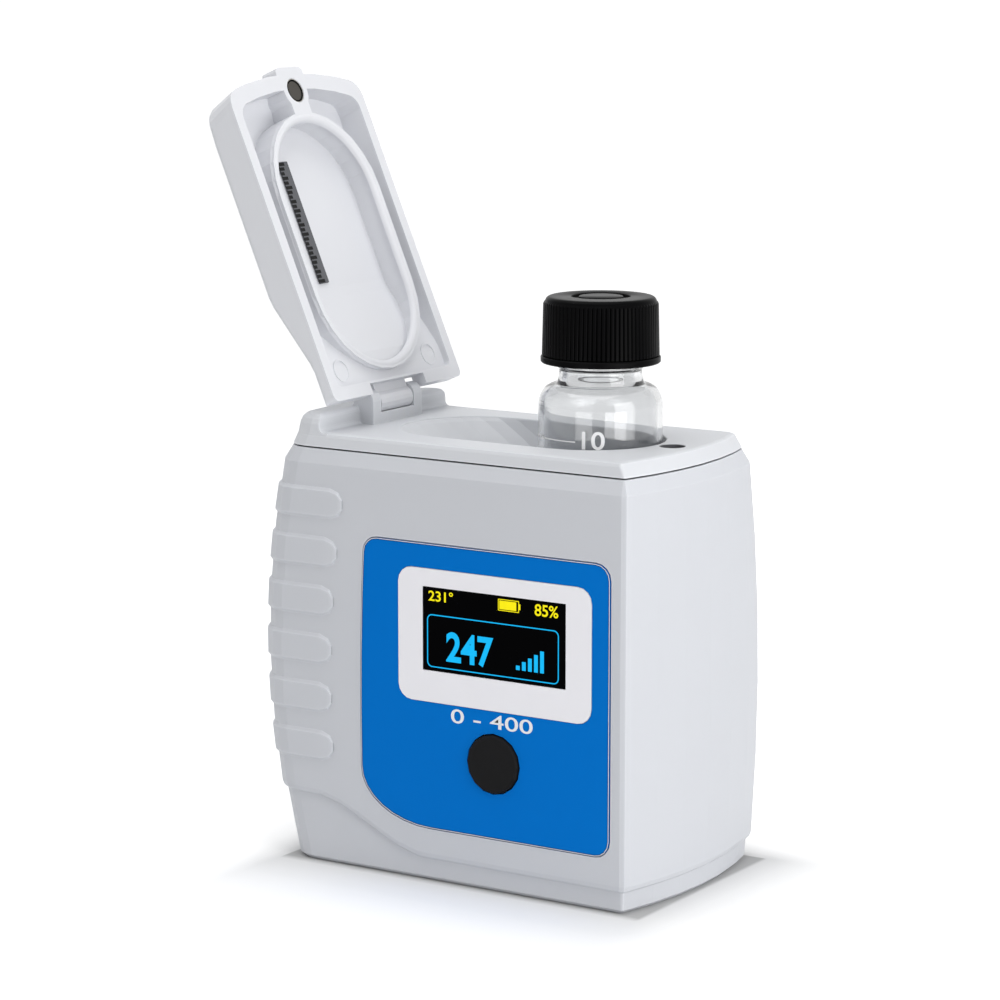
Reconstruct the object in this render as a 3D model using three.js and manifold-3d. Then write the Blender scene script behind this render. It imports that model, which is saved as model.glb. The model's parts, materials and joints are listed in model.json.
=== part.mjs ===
// A palm-size water colorimeter: a moulded case with a finger-ridged end, a hinged light-tight lid,
// a sample vial that stands in a round well, a display, one button and three batteries.
// Millimetres, +Z up. X runs along the display face, Y from that face to the back.
// The origin is at the middle of the underside. The lid is open and the vial is drawn up, as it is filled.
import * as THREE from 'three';
import { mergeVertices } from 'three/addons/utils/BufferGeometryUtils.js';
import Module from 'manifold-3d';

const wasm = await Module();
wasm.setup();

// Cutting allowances and clearances
const overrun = 1;
const seat_gap = 0.3;
const run_gap = 0.3;
const slim_gap = 0.12;

// Case, measured on the raised grip face
const case_height = 86.8;
const face_front = -25;
const face_right = 38.5;
const right_bow = 3.6;
const left_reach = -50.4;
const left_bow = 4.4;
const left_bow_level_share = 0.53;
const left_bow_span_share = 0.438;
const back_reach = 30.6;
const back_bow = 4.8;
const back_bow_level_share = 0.426;
const back_bow_span_share = 0.5415;
const left_end_bow = 0.8;
const front_left_radius = 6.6;
const front_right_radius = 1.6;
const back_right_radius = 3.8;
const back_left_radius = 7;
const wall = 2.4;
const top_rim_wall = 3;
const shoulder_drop = 2.9;
const shoulder_inset = 1.2;
const shoulder_turn = 0.5;
const shoulder_turn_inset = 0.2;

// Recessed base band, whose upper edge climbs in an S at the grip end
const band_recess = 0.9;
const band_height = 4.35;
const band_climb = 14.2;
const climb_start = -37;
const climb_end = -8;
const band_edge_rise = 1.4;
const foot_round = 0.8;

// Finger ridges at the grip end
const ridge_count = 6;
const ridge_first_drop = 10.9;
const ridge_pitch_share = 0.1175;
const ridge_height_share = 0.63;
const ridge_relief = 0.5;
const ridge_end = -31.6;
const ridge_end_bow = 3;
const ridge_bow_level_share = 0.438;
const ridge_bow_span_share = 0.434;
const ridge_root = 1.2;

// Top deck
const deck_rim = 3.3;
const deck_gap = 0.35;
const deck_edge_round = 0.9;
const deck_draft_front = 0.3;
const deck_draft_right = 1;
const deck_draft_back = 0.6;
const deck_draft_left = 0.9;
const deck_lip_depth = 2.6;
const deck_lip_wall = 1.4;
const block_face = -35.5;
const block_rise = 3.8;
const block_round = 1.2;
const block_foot = 1.1;
const block_lean = 1.2;
const block_edge_round = 2.2;
const block_setback = 0.06;

// Finger recess round the vial
const recess_radius = 15.3;
const recess_draft = 0.1;
const recess_far_offset = 2.2;
const recess_reach = 27.9;
const recess_ramp = 19;
const recess_depth = 16.1;
const recess_wall = 1.6;
const recess_mouth_round = 0.3;

// Hinge
const hinge_x = -34.3;
const hinge_rise = 4.07;
const pin_radius = 0.9;
const pin_fit = 0.25;
const ear_reach = 2.3;
const ear_rise = 2.85;
const ear_round = 2.2;
const ear_run = 1.5;
const ear_width = 2.85;
const bracket_half = 8.9;
const knuckle_radius = 2.3;
const knuckle_room = 0.25;
const bracket_sill = 2.25;
const pin_end_wall = 0.8;

// Lid
const lid_open_angle = 113.25;
const lid_near = 1.15;
const lid_front_inset = 0.1;
const lid_far_inset = 2.25;
const lid_far_bow = 3;
const lid_far_lean = 2;
const lid_corner_radius = 4;
const lid_outer_corner_radius = 5.5;
const lid_pocket_radius = 3.2;
const lid_near_radius = 1.4;
const lid_thin = 3.25;
const lid_thick = 7.9;
const lid_far_drop = 3.6;
const lid_ramp_start = 7;
const lid_ramp_end = 25;
const lid_ramp_ease = 2.3;
const lid_ease_rise = 0.35;
const lid_far_round = 12;
const lid_wall = 1.8;
const lid_rim = 2.6;
const lid_far_rim = 3.3;
const lid_near_rim = 2.8;
const lid_edge_round = 1.3;
const lid_notch_depth = 2.35;
const lid_notch_room = 0.95;
const lid_arm_length = 8.5;
const shield_radius = 16.6;
const shield_near_centre = 22.4;
const shield_far_centre = 43.9;
const shield_thickness = 1.15;
const boss_radius = 4.1;
const boss_web = 3;
const tab_half = 4.7;
const tab_reach = 1.5;
const tab_thickness = 3.8;
const tab_round = 1.2;
const magnet_radius = 2.6;
const magnet_length = 3;
const magnet_setback = 0.25;
const magnet_from_end = 3.7;
const deck_magnet_setback = 0.8;
const deck_magnet_outboard = 0.8;
const lid_strip_length = 27;
const lid_strip_width = 7;
const lid_strip_thickness = 0.3;
const lid_strip_near = 26;
const lid_strip_side = -10;

// Vial
const vial_x = 17.4;
const vial_radius = 12.6;
const vial_height = 52.2;
const vial_wall = 1.2;
const vial_floor = 1.5;
const vial_shoulder_drop = 18.2;
const vial_shoulder_height = 6.1;
const vial_neck_radius = 8.75;
const vial_bore = 6.9;
const vial_bore_flare = 8.8;
const vial_flare_drop = 13.4;
const vial_flare_rise = 2;
const vial_inner_shoulder = 10.6;
const vial_inner_shoulder_drop = 15.5;
const vial_lip_height = 1.2;
const vial_raise = 33.25;
const vial_seat_depth = 59.85;
const cap_radius = 12.1;
const cap_rib_radius = 11.85;
const cap_rib_taper = 0.25;
const cap_rib_depth = 0.35;
const cap_rib_count = 40;
const cap_height = 13.3;
const cap_flange_height = 1.5;
const cap_roof = 2.2;
const cap_bore = 9.65;
const cap_edge = 1.1;
const cap_ring_outer = 5.9;
const cap_ring_inner = 4.5;
const cap_ring_depth = 0.5;
const liner_radius = 9.2;
const liner_thickness = 1;

// Vial well and its light path
const well_clearance = 0.4;
const well_wall = 2.3;
const well_floor = 2.2;
const well_drop = 0.4;
const grip_ring_height = 1;
const grip_ring_clearance = 0.2;
const grip_ring_width = 1.9;
const optic_rise = 15.8;
const port_radius = 2.65;
const port_wall = 1.5;
const port_reach = 18.2;
const lens_radius = 2.5;
const lens_length = 5;
const lens_flange = 2.95;
const lens_flange_height = 1;
const optic_board_width = 14;
const optic_board_height = 16;
const optic_board_thickness = 1;

// Front panel
const overlay_left = -24.2;
const overlay_left_bow = 0.9;
const overlay_right = 34.8;
const overlay_bottom = 11.3;
const overlay_top_drop = 16.8;
const overlay_round = 3.2;
const overlay_sweep_x = 17;
const overlay_sweep_z = 11;
const overlay_thickness = 0.65;
const pocket_depth = 0.5;
const bezel_x = 7.9;
const bezel_drop_share = 0.3186;
const bezel_width = 45.7;
const bezel_height_share = 0.4668;
const bezel_round = 3.2;
const screen_drop_share = 0.2947;
const screen_width = 33.6;
const screen_height_share = 0.2896;
const screen_seat = 0.6;
const button_rise_share = 0.2624;
const button_radius = 6;
const button_proud = 0.7;
const button_flange = 7.2;
const button_flange_thickness = 1;
const button_stem = 2.2;
const button_travel = 0.5;

// Display module and boards
const panel_glass_width = 38;
const panel_glass_margin = 2.25;
const panel_glass_thickness = 1.6;
const display_board_width = 42;
const display_board_margin = 5;
const board_thickness = 1.6;
const display_board_thickness = 1.2;
const main_board_left = -28;
const main_board_right = 35;
const main_board_bottom = 12;
const main_board_drop = 19.8;
const main_board_front = -18.3;
const board_boss_radius = 2.4;
const board_boss_x_left = -25;
const board_boss_x_right = 32.4;
const board_boss_z_low = 15;
const board_boss_drop = 22.8;
const chip_side = 10;
const chip_thickness = 1.4;
const chip_x = -14;
const chip_z = 42;
const header_width = 12;
const header_height = 2.6;
const switch_side = 6;
const switch_plunger_radius = 1.7;
const switch_plunger_length = 0.6;

// Screws
const screw_radius = 1.1;
const screw_bore = 1.3;
const screw_head_radius = 2.1;
const screw_head_height = 1.5;
const board_screw_length = 4.4;
const case_screw_length = 8;
const deck_screw_length = 8;
const case_boss_radius = 3.9;
const case_boss_height = 9.4;
const case_boss_front = -18.9;
const case_boss_back = 20.6;
const case_boss_left = -38.4;
const case_boss_back_left = -39.6;
const case_boss_right = 32.6;
const deck_post_radius = 2.7;
const deck_lug_drop = 14.8;
const deck_lug_height = 3;
const deck_lug_radius = 4.3;
const deck_post_front = -18;
const deck_post_back = 18.6;
const deck_post_left = -38.2;
const deck_post_right = 33.2;

// Base plate
const base_thickness = 2.4;

// Batteries, their bay and door
const battery_count = 3;
const battery_radius = 5.25;
const battery_length = 43.3;
const battery_nub_radius = 1.9;
const battery_nub_height = 0.9;
const battery_pitch = 11.3;
const battery_first_x = -24.2;
const battery_y = 19.7;
const bay_bottom = 12.2;
const bay_wall = 1.3;
const bay_clearance = 0.4;
const bay_rim = 26.2;
const spring_space = 5.2;
const spring_wire = 0.45;
const spring_big = 4;
const spring_small = 2.2;
const spring_turns = 2.5;
const contact_thickness = 0.5;
const contact_side = 8;
const contact_space = 0.9;
const door_margin_x = 1.2;
const door_bottom_rise = 1.8;
const door_top_drop = 3.1;
const door_edge_radius = 1.05;
const door_rib_count = 3;
const door_rib_pitch = 2.4;
const door_rib_length = 13;
const door_rib_width = 1.1;
const door_rib_relief = 0.7;
const door_rib_drop = 4.5;

// How finely round things are cut
const fine_steps = 28;
const round_steps = 24;
const plain_steps = 16;
const small_steps = 8;
const corner_steps = 4;
const tight_steps = 2;

// Levels and places that follow from the sizes above
const left_bow_level = left_bow_level_share * case_height;
const left_bow_span = left_bow_span_share * case_height;
const back_bow_level = back_bow_level_share * case_height;
const back_bow_span = back_bow_span_share * case_height;
const ridge_first_level = case_height - ridge_first_drop;
const ridge_pitch = ridge_pitch_share * case_height;
const ridge_height = ridge_height_share * ridge_pitch;
const ridge_bow_level = ridge_bow_level_share * case_height;
const ridge_bow_span = ridge_bow_span_share * case_height;
const overlay_top = case_height - overlay_top_drop;
const overlay_height = overlay_top - overlay_bottom;
const bezel_height = bezel_height_share * overlay_height;
const bezel_z = overlay_top - bezel_drop_share * overlay_height;
const screen_height = screen_height_share * overlay_height;
const screen_z = overlay_top - screen_drop_share * overlay_height;
const button_z = overlay_bottom + button_rise_share * overlay_height;
const panel_glass_height = screen_height + 2 * panel_glass_margin;
const display_board_height = screen_height + 2 * display_board_margin;
const main_board_top = case_height - main_board_drop;
const board_boss_z_high = case_height - board_boss_drop;
const deck_lug_level = case_height - deck_lug_drop;
const battery_level = bay_bottom + bay_wall + spring_space;
const battery_top = battery_level + battery_length + battery_nub_height;
const bay_top = battery_top + contact_space + bay_wall;
const door_bottom = bay_bottom + door_bottom_rise;
const door_top = bay_top - door_top_drop;
const deck_level = case_height + deck_rim;
const block_level = deck_level + block_rise;
const hinge_level = deck_level + hinge_rise;
const recess_floor = Math.max(deck_level - recess_depth, bay_top + recess_wall + run_gap);
const recess_far = vial_x - recess_far_offset;
const vial_seated_level = deck_level - vial_seat_depth;
const vial_level = vial_seated_level + vial_raise;
const optic_level = vial_seated_level + optic_rise;
const well_inner = vial_radius + well_clearance;
const well_outer = well_inner + well_wall;
const face_inside = face_front + wall;
const pocket_level = face_front + pocket_depth;

// Turning three.js geometry into solids and back
function toSolid(geometry) {
  const bare = geometry.index ? geometry.clone() : geometry;
  bare.deleteAttribute('normal');
  bare.deleteAttribute('uv');
  const merged = mergeVertices(bare, 1e-4);
  const vertProperties = new Float32Array(merged.attributes.position.array);
  const triVerts = new Uint32Array(merged.index.array);
  return new wasm.Manifold(new wasm.Mesh({ numProp: 3, vertProperties, triVerts }));
}

function toGeometry(solid) {
  const { numProp, vertProperties, triVerts } = solid.getMesh();
  const positions = new Float32Array((vertProperties.length / numProp) * 3);
  for (let i = 0; i < positions.length / 3; i += 1) {
    for (let k = 0; k < 3; k += 1) positions[i * 3 + k] = vertProperties[i * numProp + k];
  }
  const geometry = new THREE.BufferGeometry();
  geometry.setAttribute('position', new THREE.BufferAttribute(positions, 3));
  geometry.setIndex(new THREE.BufferAttribute(new Uint32Array(triVerts), 1));
  return geometry;
}

const join = (...solids) => solids.reduce((all, next) => all.add(next));
const cut = (solid, ...tools) => tools.reduce((left, tool) => left.subtract(tool), solid);

// Outlines
function roundedOutline(corners) {
  const points = [];
  corners.forEach(([x, y, radius, steps = corner_steps], i) => {
    const here = new THREE.Vector2(x, y);
    if (!radius) {
      points.push(here);
      return;
    }
    const [beforeX, beforeY] = corners.at(i - 1);
    const [afterX, afterY] = corners[(i + 1) % corners.length];
    const toBefore = new THREE.Vector2(beforeX, beforeY).sub(here).normalize();
    const toAfter = new THREE.Vector2(afterX, afterY).sub(here).normalize();
    const half = Math.acos(toBefore.dot(toAfter)) / 2;
    const centre = toBefore.clone().add(toAfter).setLength(radius / Math.sin(half)).add(here);
    const first = here.clone().addScaledVector(toBefore, radius / Math.tan(half));
    const turn = Math.sign(toAfter.cross(toBefore)) * (Math.PI - 2 * half);
    for (let k = 0; k <= steps; k += 1) {
      points.push(first.clone().rotateAround(centre, (turn * k) / steps));
    }
  });
  return points;
}

// Points between two corners of a side that bows outward, away from a line that runs from one to the other
function bowedSide([fromX, fromY], [toX, toY], bow, count) {
  const along = new THREE.Vector2(toX - fromX, toY - fromY);
  const outward = new THREE.Vector2(along.y, -along.x).normalize();
  return Array.from({ length: count }, (_, i) => {
    const share = (i + 1) / (count + 1);
    const lift = 4 * bow * share * (1 - share);
    return [fromX + along.x * share + outward.x * lift, fromY + along.y * share + outward.y * lift, 0];
  });
}

const box2 = (x0, y0, x1, y1, radius = 0) => roundedOutline([[x0, y0, radius], [x1, y0, radius],
  [x1, y1, radius], [x0, y1, radius]]);

function oblong(nearX, farX, radius, steps = plain_steps) {
  const points = [];
  [[farX, -Math.PI / 2], [nearX, Math.PI / 2]].forEach(([centre, start]) => {
    for (let k = 0; k <= steps / 2; k += 1) {
      const angle = start + (2 * Math.PI * k) / steps;
      points.push(new THREE.Vector2(centre + radius * Math.cos(angle), radius * Math.sin(angle)));
    }
  });
  return points;
}

// A quarter round from a wall up to a top, in shares of its radius: how far in, and how far below the top
const roundOver = (steps) => Array.from({ length: steps + 1 }, (_, i) => {
  const angle = (Math.PI / 2) * (i / steps);
  return [1 - Math.cos(angle), 1 - Math.sin(angle)];
});

// Extrusions: an outline in X and Y raised along Z, or one in X and Z run along Y
const extruded = (points, depth) => new THREE.ExtrudeGeometry(new THREE.Shape(points),
  { depth, bevelEnabled: false, curveSegments: 1 });
const riseZ = (points, z0, z1) => toSolid(extruded(points, z1 - z0).translate(0, 0, z0));
const runY = (points, y0, y1) => toSolid(extruded(points, y1 - y0)
  .rotateX(Math.PI / 2).translate(0, y1, 0));
const blockZ = (x0, x1, y0, y1, z0, z1, radius = 0) => riseZ(box2(x0, y0, x1, y1, radius), z0, z1);

function rodZ(x, y, radius, z0, z1, steps = small_steps) {
  return toSolid(new THREE.CylinderGeometry(radius, radius, z1 - z0, steps)
    .rotateX(Math.PI / 2).translate(x, y, (z0 + z1) / 2));
}

function rodY(x, z, radius, y0, y1, steps = small_steps) {
  return toSolid(new THREE.CylinderGeometry(radius, radius, y1 - y0, steps)
    .translate(x, (y0 + y1) / 2, z));
}

function rodX(y, z, radius, x0, x1, steps = small_steps) {
  return toSolid(new THREE.CylinderGeometry(radius, radius, x1 - x0, steps)
    .rotateZ(Math.PI / 2).translate((x0 + x1) / 2, y, z));
}

// A turned piece about a vertical axis: the profile is a list of [radius, height]
function turned(profile, steps, x = 0, y = 0) {
  const points = profile.map(([radius, height]) => new THREE.Vector2(radius, height));
  return toSolid(new THREE.LatheGeometry([...points, points[0]], steps)
    .rotateX(Math.PI / 2).translate(x, y, 0));
}

// A skin over closed rings of points, with both ends closed
function loft(rings, endTriangles) {
  const count = rings[0].length;
  const positions = rings.flat().flatMap((point) => [point.x, point.y, point.z]);
  const index = [];
  for (let r = 0; r + 1 < rings.length; r += 1) {
    for (let i = 0; i < count; i += 1) {
      const next = (i + 1) % count;
      const low = r * count;
      const high = low + count;
      index.push(low + i, low + next, high + next, low + i, high + next, high + i);
    }
  }
  const last = (rings.length - 1) * count;
  endTriangles(rings[0]).forEach(([a, b, c]) => index.push(a, c, b));
  endTriangles(rings.at(-1)).forEach(([a, b, c]) => index.push(last + a, last + b, last + c));
  const geometry = new THREE.BufferGeometry();
  geometry.setAttribute('position', new THREE.Float32BufferAttribute(positions, 3));
  geometry.setIndex(index);
  return toSolid(geometry);
}

const flatEnd = (ring) => {
  const flat = ring.map(({ x, y }) => new THREE.Vector2(x, y));
  return THREE.ShapeUtils.triangulateShape(flat, []);
};
const fanEnd = (ring) => ring.slice(2).map((_, i) => [0, i + 1, i + 2]);

// The case outline: the left end and the back bow with height, the front is flat, the right bows in plan
const leftAt = (z) => left_reach + left_bow * ((z - left_bow_level) / left_bow_span) ** 2;
const backAt = (z) => back_reach - back_bow * ((z - back_bow_level) / back_bow_span) ** 2;

const case_front_points = 6;
const case_right_points = 5;
const case_left_points = 3;

function climbPoints(y) {
  return Array.from({ length: case_front_points }, (_, i) => {
    const share = (i + 0.5) / case_front_points;
    return [climb_start + (climb_end - climb_start) * share, y, 0];
  });
}

function caseOutline(z, inset, draft = { front: 0, right: 0, back: 0, left: 0 }) {
  const front = face_front + inset + draft.front;
  const right = face_right - inset - draft.right;
  const back = backAt(z) - inset - draft.back;
  const left = leftAt(z) + inset + draft.left;
  const rounded = (radius) => Math.max(radius - inset, radius / 3);
  return roundedOutline([
    [left, front, rounded(front_left_radius)],
    ...climbPoints(front),
    [right, front, rounded(front_right_radius), tight_steps],
    ...bowedSide([right, front], [right, back], right_bow, case_right_points),
    [right, back, rounded(back_right_radius), tight_steps + 1],
    ...climbPoints(back).reverse(),
    [left, back, rounded(back_left_radius)],
    ...bowedSide([left, back], [left, front], left_end_bow, case_left_points),
  ]);
}

const atHeight = (outline, z) => outline.map(({ x, y }) => new THREE.Vector3(x, y, z));
const caseRing = (z, inset, draft) => atHeight(caseOutline(z, inset, draft), z);

// The upper edge of the recessed band at a place along X
function bandEdge(x) {
  const share = THREE.MathUtils.smoothstep(x, climb_start, climb_end);
  return THREE.MathUtils.lerp(band_climb, band_height, share);
}

// A ring whose height follows the band's edge: level 0 lies on that edge and level 1 under the shoulder
function climbingRing(rise, level, inset) {
  const top = case_height - shoulder_drop;
  const heightAt = (x) => THREE.MathUtils.lerp(bandEdge(x) + rise, top, level);
  const guess = caseOutline(heightAt(0), inset);
  return guess.map((near, i) => {
    const z = heightAt(near.x);
    const { x, y } = caseOutline(z, inset)[i];
    return new THREE.Vector3(x, y, z);
  });
}

const band_edge_shares = [[0, 1], [0.1, 0.65], [0.4, 0.25], [1, 0]];
const grip_levels = 5;

function caseBody() {
  const top = case_height - shoulder_drop;
  const rings = [
    caseRing(0, band_recess + foot_round),
    caseRing(foot_round, band_recess),
    ...band_edge_shares.map(([rise, inset]) => climbingRing(rise * band_edge_rise, 0,
      inset * band_recess)),
  ];
  for (let i = 1; i <= grip_levels; i += 1) rings.push(climbingRing(band_edge_rise, i / grip_levels, 0));
  rings.push(caseRing(top + shoulder_turn, shoulder_turn_inset));
  rings.push(caseRing(case_height, shoulder_inset));
  return loft(rings, flatEnd);
}

const hollow_level_shares = [0.25, 0.5, 0.75];

function caseHollow(margin = 0) {
  const levels = hollow_level_shares.map((share) => share * case_height);
  return loft([
    caseRing(-overrun, wall + margin),
    ...levels.map((z) => caseRing(z, wall + margin)),
    caseRing(case_height - shoulder_drop, top_rim_wall + margin),
    caseRing(case_height + overrun, top_rim_wall + margin),
  ], flatEnd);
}

// One finger ridge: a pillow that runs from the back face round the grip end to the front face
const ridge_tip_shares = [0.05, 0.35, 1];
const ridge_crown_shares = [[-1, 0], [-0.8, 1], [0.8, 1], [1, 0]];

function gripPath(z, end) {
  const front = face_front;
  const back = backAt(z);
  const left = leftAt(z);
  const tip = ridge_height / 2;
  const stations = roundedOutline([
    [left, back, back_left_radius],
    ...bowedSide([left, back], [left, front], left_end_bow, case_left_points),
    [left, front, front_left_radius],
    [end, front, 0],
    [end, back, 0],
  ]);
  const wrap = stations.slice(0, -2);
  const backTips = ridge_tip_shares.map((share) => new THREE.Vector2(end - share * tip, back));
  const frontTips = ridge_tip_shares.map((share) => new THREE.Vector2(end - share * tip, front)).reverse();
  return [...backTips, ...wrap, ...frontTips];
}

function fingerRidge(level) {
  const end = ridge_end + ridge_end_bow * ((level - ridge_bow_level) / ridge_bow_span) ** 2;
  const stationCount = gripPath(level, end).length;
  const swell = Array.from({ length: stationCount }, (_, i) => {
    const share = ridge_tip_shares[Math.min(i, stationCount - 1 - i)] ?? 1;
    return Math.sqrt(1 - (1 - share) ** 2);
  });
  const rings = swell.map((size, i) => {
    const pointAt = (z, out) => {
      const path = gripPath(z, end);
      const before = path[Math.max(i - 1, 0)];
      const after = path[Math.min(i + 1, path.length - 1)];
      const along = after.clone().sub(before).normalize();
      return new THREE.Vector3(path[i].x + along.y * out, path[i].y - along.x * out, z);
    };
    const half = (size * ridge_height) / 2;
    const crown = ridge_crown_shares.map(([up, out]) => pointAt(level + half * up,
      ridge_relief * Math.sqrt(size) * out));
    return [pointAt(level + half, -ridge_root), ...crown.reverse(), pointAt(level - half, -ridge_root)];
  });
  return loft(rings, fanEnd);
}

// Openings in the display face
const overlayOutline = (grow) => {
  const left = overlay_left - grow;
  const right = overlay_right + grow;
  const bottom = overlay_bottom - grow;
  const top = overlay_top + grow;
  const sweep = Array.from({ length: 2 * corner_steps + 1 }, (_, i) => {
    const angle = Math.PI + (Math.PI / 2) * (i / (2 * corner_steps));
    return [left + overlay_sweep_x + overlay_sweep_x * Math.cos(angle),
      bottom + overlay_sweep_z + overlay_sweep_z * Math.sin(angle), 0];
  });
  const topLeft = [left + overlay_left_bow, top];
  return roundedOutline([
    ...sweep,
    [right, bottom, overlay_round + grow],
    [right, top, overlay_round + grow],
    [...topLeft, overlay_round + grow],
    ...bowedSide(topLeft, [left, bottom + overlay_sweep_z], overlay_left_bow / 2, case_left_points),
  ]);
};

const framed = (x, z, width, height, radius, grow = 0) => box2(x - width / 2 - grow, z - height / 2 - grow,
  x + width / 2 + grow, z + height / 2 + grow, radius ? radius + grow : 0);

const caseScrewPlaces = [[case_boss_left, case_boss_front], [case_boss_right, case_boss_front],
  [case_boss_right, case_boss_back], [case_boss_back_left, case_boss_back]];
const deckPostPlaces = [[deck_post_left, deck_post_front], [deck_post_right, deck_post_front],
  [deck_post_right, deck_post_back], [deck_post_left, deck_post_back]];
const boardScrewPlaces = [[board_boss_x_left, board_boss_z_low], [board_boss_x_right, board_boss_z_low],
  [board_boss_x_right, board_boss_z_high], [board_boss_x_left, board_boss_z_high]];

// Battery bay sizes
const bay_left = battery_first_x - battery_radius - bay_clearance - bay_wall;
const battery_last_x = battery_first_x + (battery_count - 1) * battery_pitch;
const bay_right = battery_last_x + battery_radius + bay_clearance + bay_wall;
const bay_front = battery_y - battery_radius - bay_clearance - bay_wall;
const door_left = bay_left + door_margin_x;
const door_right = bay_right - door_margin_x;
const door_axis_z = door_bottom + door_edge_radius;
const door_axis_y = backAt(door_axis_z) - wall / 2;

const batteryX = (i) => battery_first_x + i * battery_pitch;

function mainHousing() {
  let shell = caseBody();
  for (let i = 0; i < ridge_count; i += 1) {
    shell = shell.add(fingerRidge(ridge_first_level - i * ridge_pitch));
  }
  shell = shell.subtract(caseHollow());
  const envelope = caseBody();
  const wallPost = ([x, y], radius, z0, z1) => {
    const side = Math.sign(y);
    const outline = [new THREE.Vector2(x - radius, side * (back_reach + overrun)),
      new THREE.Vector2(x + radius, side * (back_reach + overrun))];
    for (let k = 0; k <= small_steps; k += 1) {
      const angle = (Math.PI * k) / small_steps;
      outline.push(new THREE.Vector2(x + radius * Math.cos(angle), y - side * radius * Math.sin(angle)));
    }
    return riseZ(outline, z0, z1).intersect(envelope);
  };
  caseScrewPlaces.forEach((place) => {
    shell = shell.add(wallPost(place, case_boss_radius, base_thickness, base_thickness + case_boss_height));
  });
  deckPostPlaces.forEach((place) => {
    shell = shell.add(wallPost(place, deck_lug_radius, deck_lug_level, deck_lug_level + deck_lug_height));
  });
  boardScrewPlaces.forEach(([x, z]) => {
    shell = shell.add(rodY(x, z, board_boss_radius, face_inside - overrun / 2,
      main_board_front - seat_gap));
  });
  caseScrewPlaces.forEach(([x, y]) => {
    shell = shell.subtract(rodZ(x, y, screw_bore, 0, base_thickness + case_screw_length + overrun));
  });
  deckPostPlaces.forEach(([x, y]) => {
    shell = shell.subtract(rodZ(x, y, screw_bore, deck_lug_level - overrun,
      deck_lug_level + deck_lug_height + overrun));
  });
  boardScrewPlaces.forEach(([x, z]) => {
    shell = shell.subtract(rodY(x, z, screw_bore, face_inside + screw_bore / 2, main_board_front));
  });
  const pocket = runY(overlayOutline(seat_gap), face_front - overrun, pocket_level);
  const screenHole = runY(framed(bezel_x, screen_z, screen_width, screen_height, 0, -screen_seat),
    face_front - overrun, face_inside + overrun);
  const buttonHole = rodY(bezel_x, button_z, button_radius + run_gap, face_front - overrun,
    face_inside + overrun, plain_steps);
  const doorHole = blockZ(door_left - run_gap, door_right + run_gap, bay_front, back_reach + overrun,
    door_bottom - run_gap, door_top + run_gap, 0);
  return cut(shell, pocket, screenHole, buttonHole, doorHole);
}

function basePlate() {
  const ring = (z, inset) => atHeight(caseOutline(0, wall + seat_gap + inset), z);
  const plate = loft([ring(0, foot_round / 2), ring(foot_round / 2, 0), ring(base_thickness, 0)], flatEnd);
  const holes = caseScrewPlaces.flatMap(([x, y]) => [
    rodZ(x, y, screw_bore, -overrun, base_thickness + overrun),
    rodZ(x, y, screw_head_radius + seat_gap, -overrun, screw_head_height + 2 * slim_gap),
  ]);
  return cut(plate, ...holes);
}

// A screw along +Z from the underside of its head, with a rounded head and a pointed tip
function screwSolid(length) {
  const edge = screw_head_height / 4;
  return turned([
    [0, -screw_head_height],
    [screw_head_radius - edge, -screw_head_height],
    [screw_head_radius, 0],
    [screw_radius, 0],
    [screw_radius, length - screw_radius],
    [0, length],
  ], small_steps);
}

// Top deck with its end block, finger recess, hinge bracket and locating lip
const deck_bottom = case_height + deck_gap;

function deckRing(z, share, inset = 0, lean = 0) {
  const draft = {
    front: deck_draft_front * share,
    right: deck_draft_right * share,
    back: deck_draft_back * share,
    left: deck_draft_left * share + lean,
  };
  return atHeight(caseOutline(case_height, shoulder_inset + inset, draft), z);
}

function deckSlab() {
  return loft([
    deckRing(deck_bottom, 0),
    ...roundOver(tight_steps).map(([inward, down]) => deckRing(deck_level - deck_edge_round * down, 1,
      deck_edge_round * inward)),
  ], flatEnd);
}

// The raised block at the hinge end, standing on the slab's left end
function endBlock() {
  const sunk = deck_bottom + deck_gap;
  const lean_start = deck_level - deck_edge_round;
  const leanAt = (z) => block_lean * THREE.MathUtils.inverseLerp(lean_start, block_level, z);
  const tall = loft([
    deckRing(sunk, THREE.MathUtils.inverseLerp(deck_bottom, lean_start, sunk), block_setback),
    deckRing(lean_start, 1, block_setback),
    ...roundOver(tight_steps + 1).map(([inward, down]) => {
      const z = block_level - block_edge_round * down;
      return deckRing(z, 1, block_setback + block_edge_round * inward, leanAt(z));
    }),
  ], flatEnd);
  const far_left = left_reach - overrun;
  const side = roundedOutline([
    [far_left, sunk - overrun, 0],
    [block_face + block_foot + overrun, sunk - overrun, 0],
    [block_face + block_foot + overrun, deck_level - slim_gap, 0],
    [block_face, deck_level - slim_gap, block_foot],
    [block_face, block_level, block_round],
    [far_left, block_level + slim_gap, 0],
  ]);
  return tall.intersect(runY(side, face_front - overrun, back_reach + overrun));
}

// How far the recess's left end has come in, as shares of its ramp, at shares of its depth
const ramp_shares = [[1, 1], [0.75, 0.84], [0.5, 0.6], [0.25, 0.32], [0.06, 0.08]];

function recessRing(z, along, radius) {
  const near = recess_far - recess_reach + recess_ramp * along;
  return atHeight(oblong(near, recess_far, radius, round_steps), z);
}

const recess_drop = deck_level - recess_floor;

function recessHollow() {
  return loft([
    ...ramp_shares.map(([down, along]) => recessRing(deck_level - recess_drop * down, along,
      recess_radius - recess_draft * down)),
    ...roundOver(tight_steps).map(([outward, down]) => recessRing(deck_level - recess_mouth_round * down, 0,
      recess_radius + recess_mouth_round * outward)),
    recessRing(deck_level + overrun, 0, recess_radius + recess_mouth_round),
  ], flatEnd);
}

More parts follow.
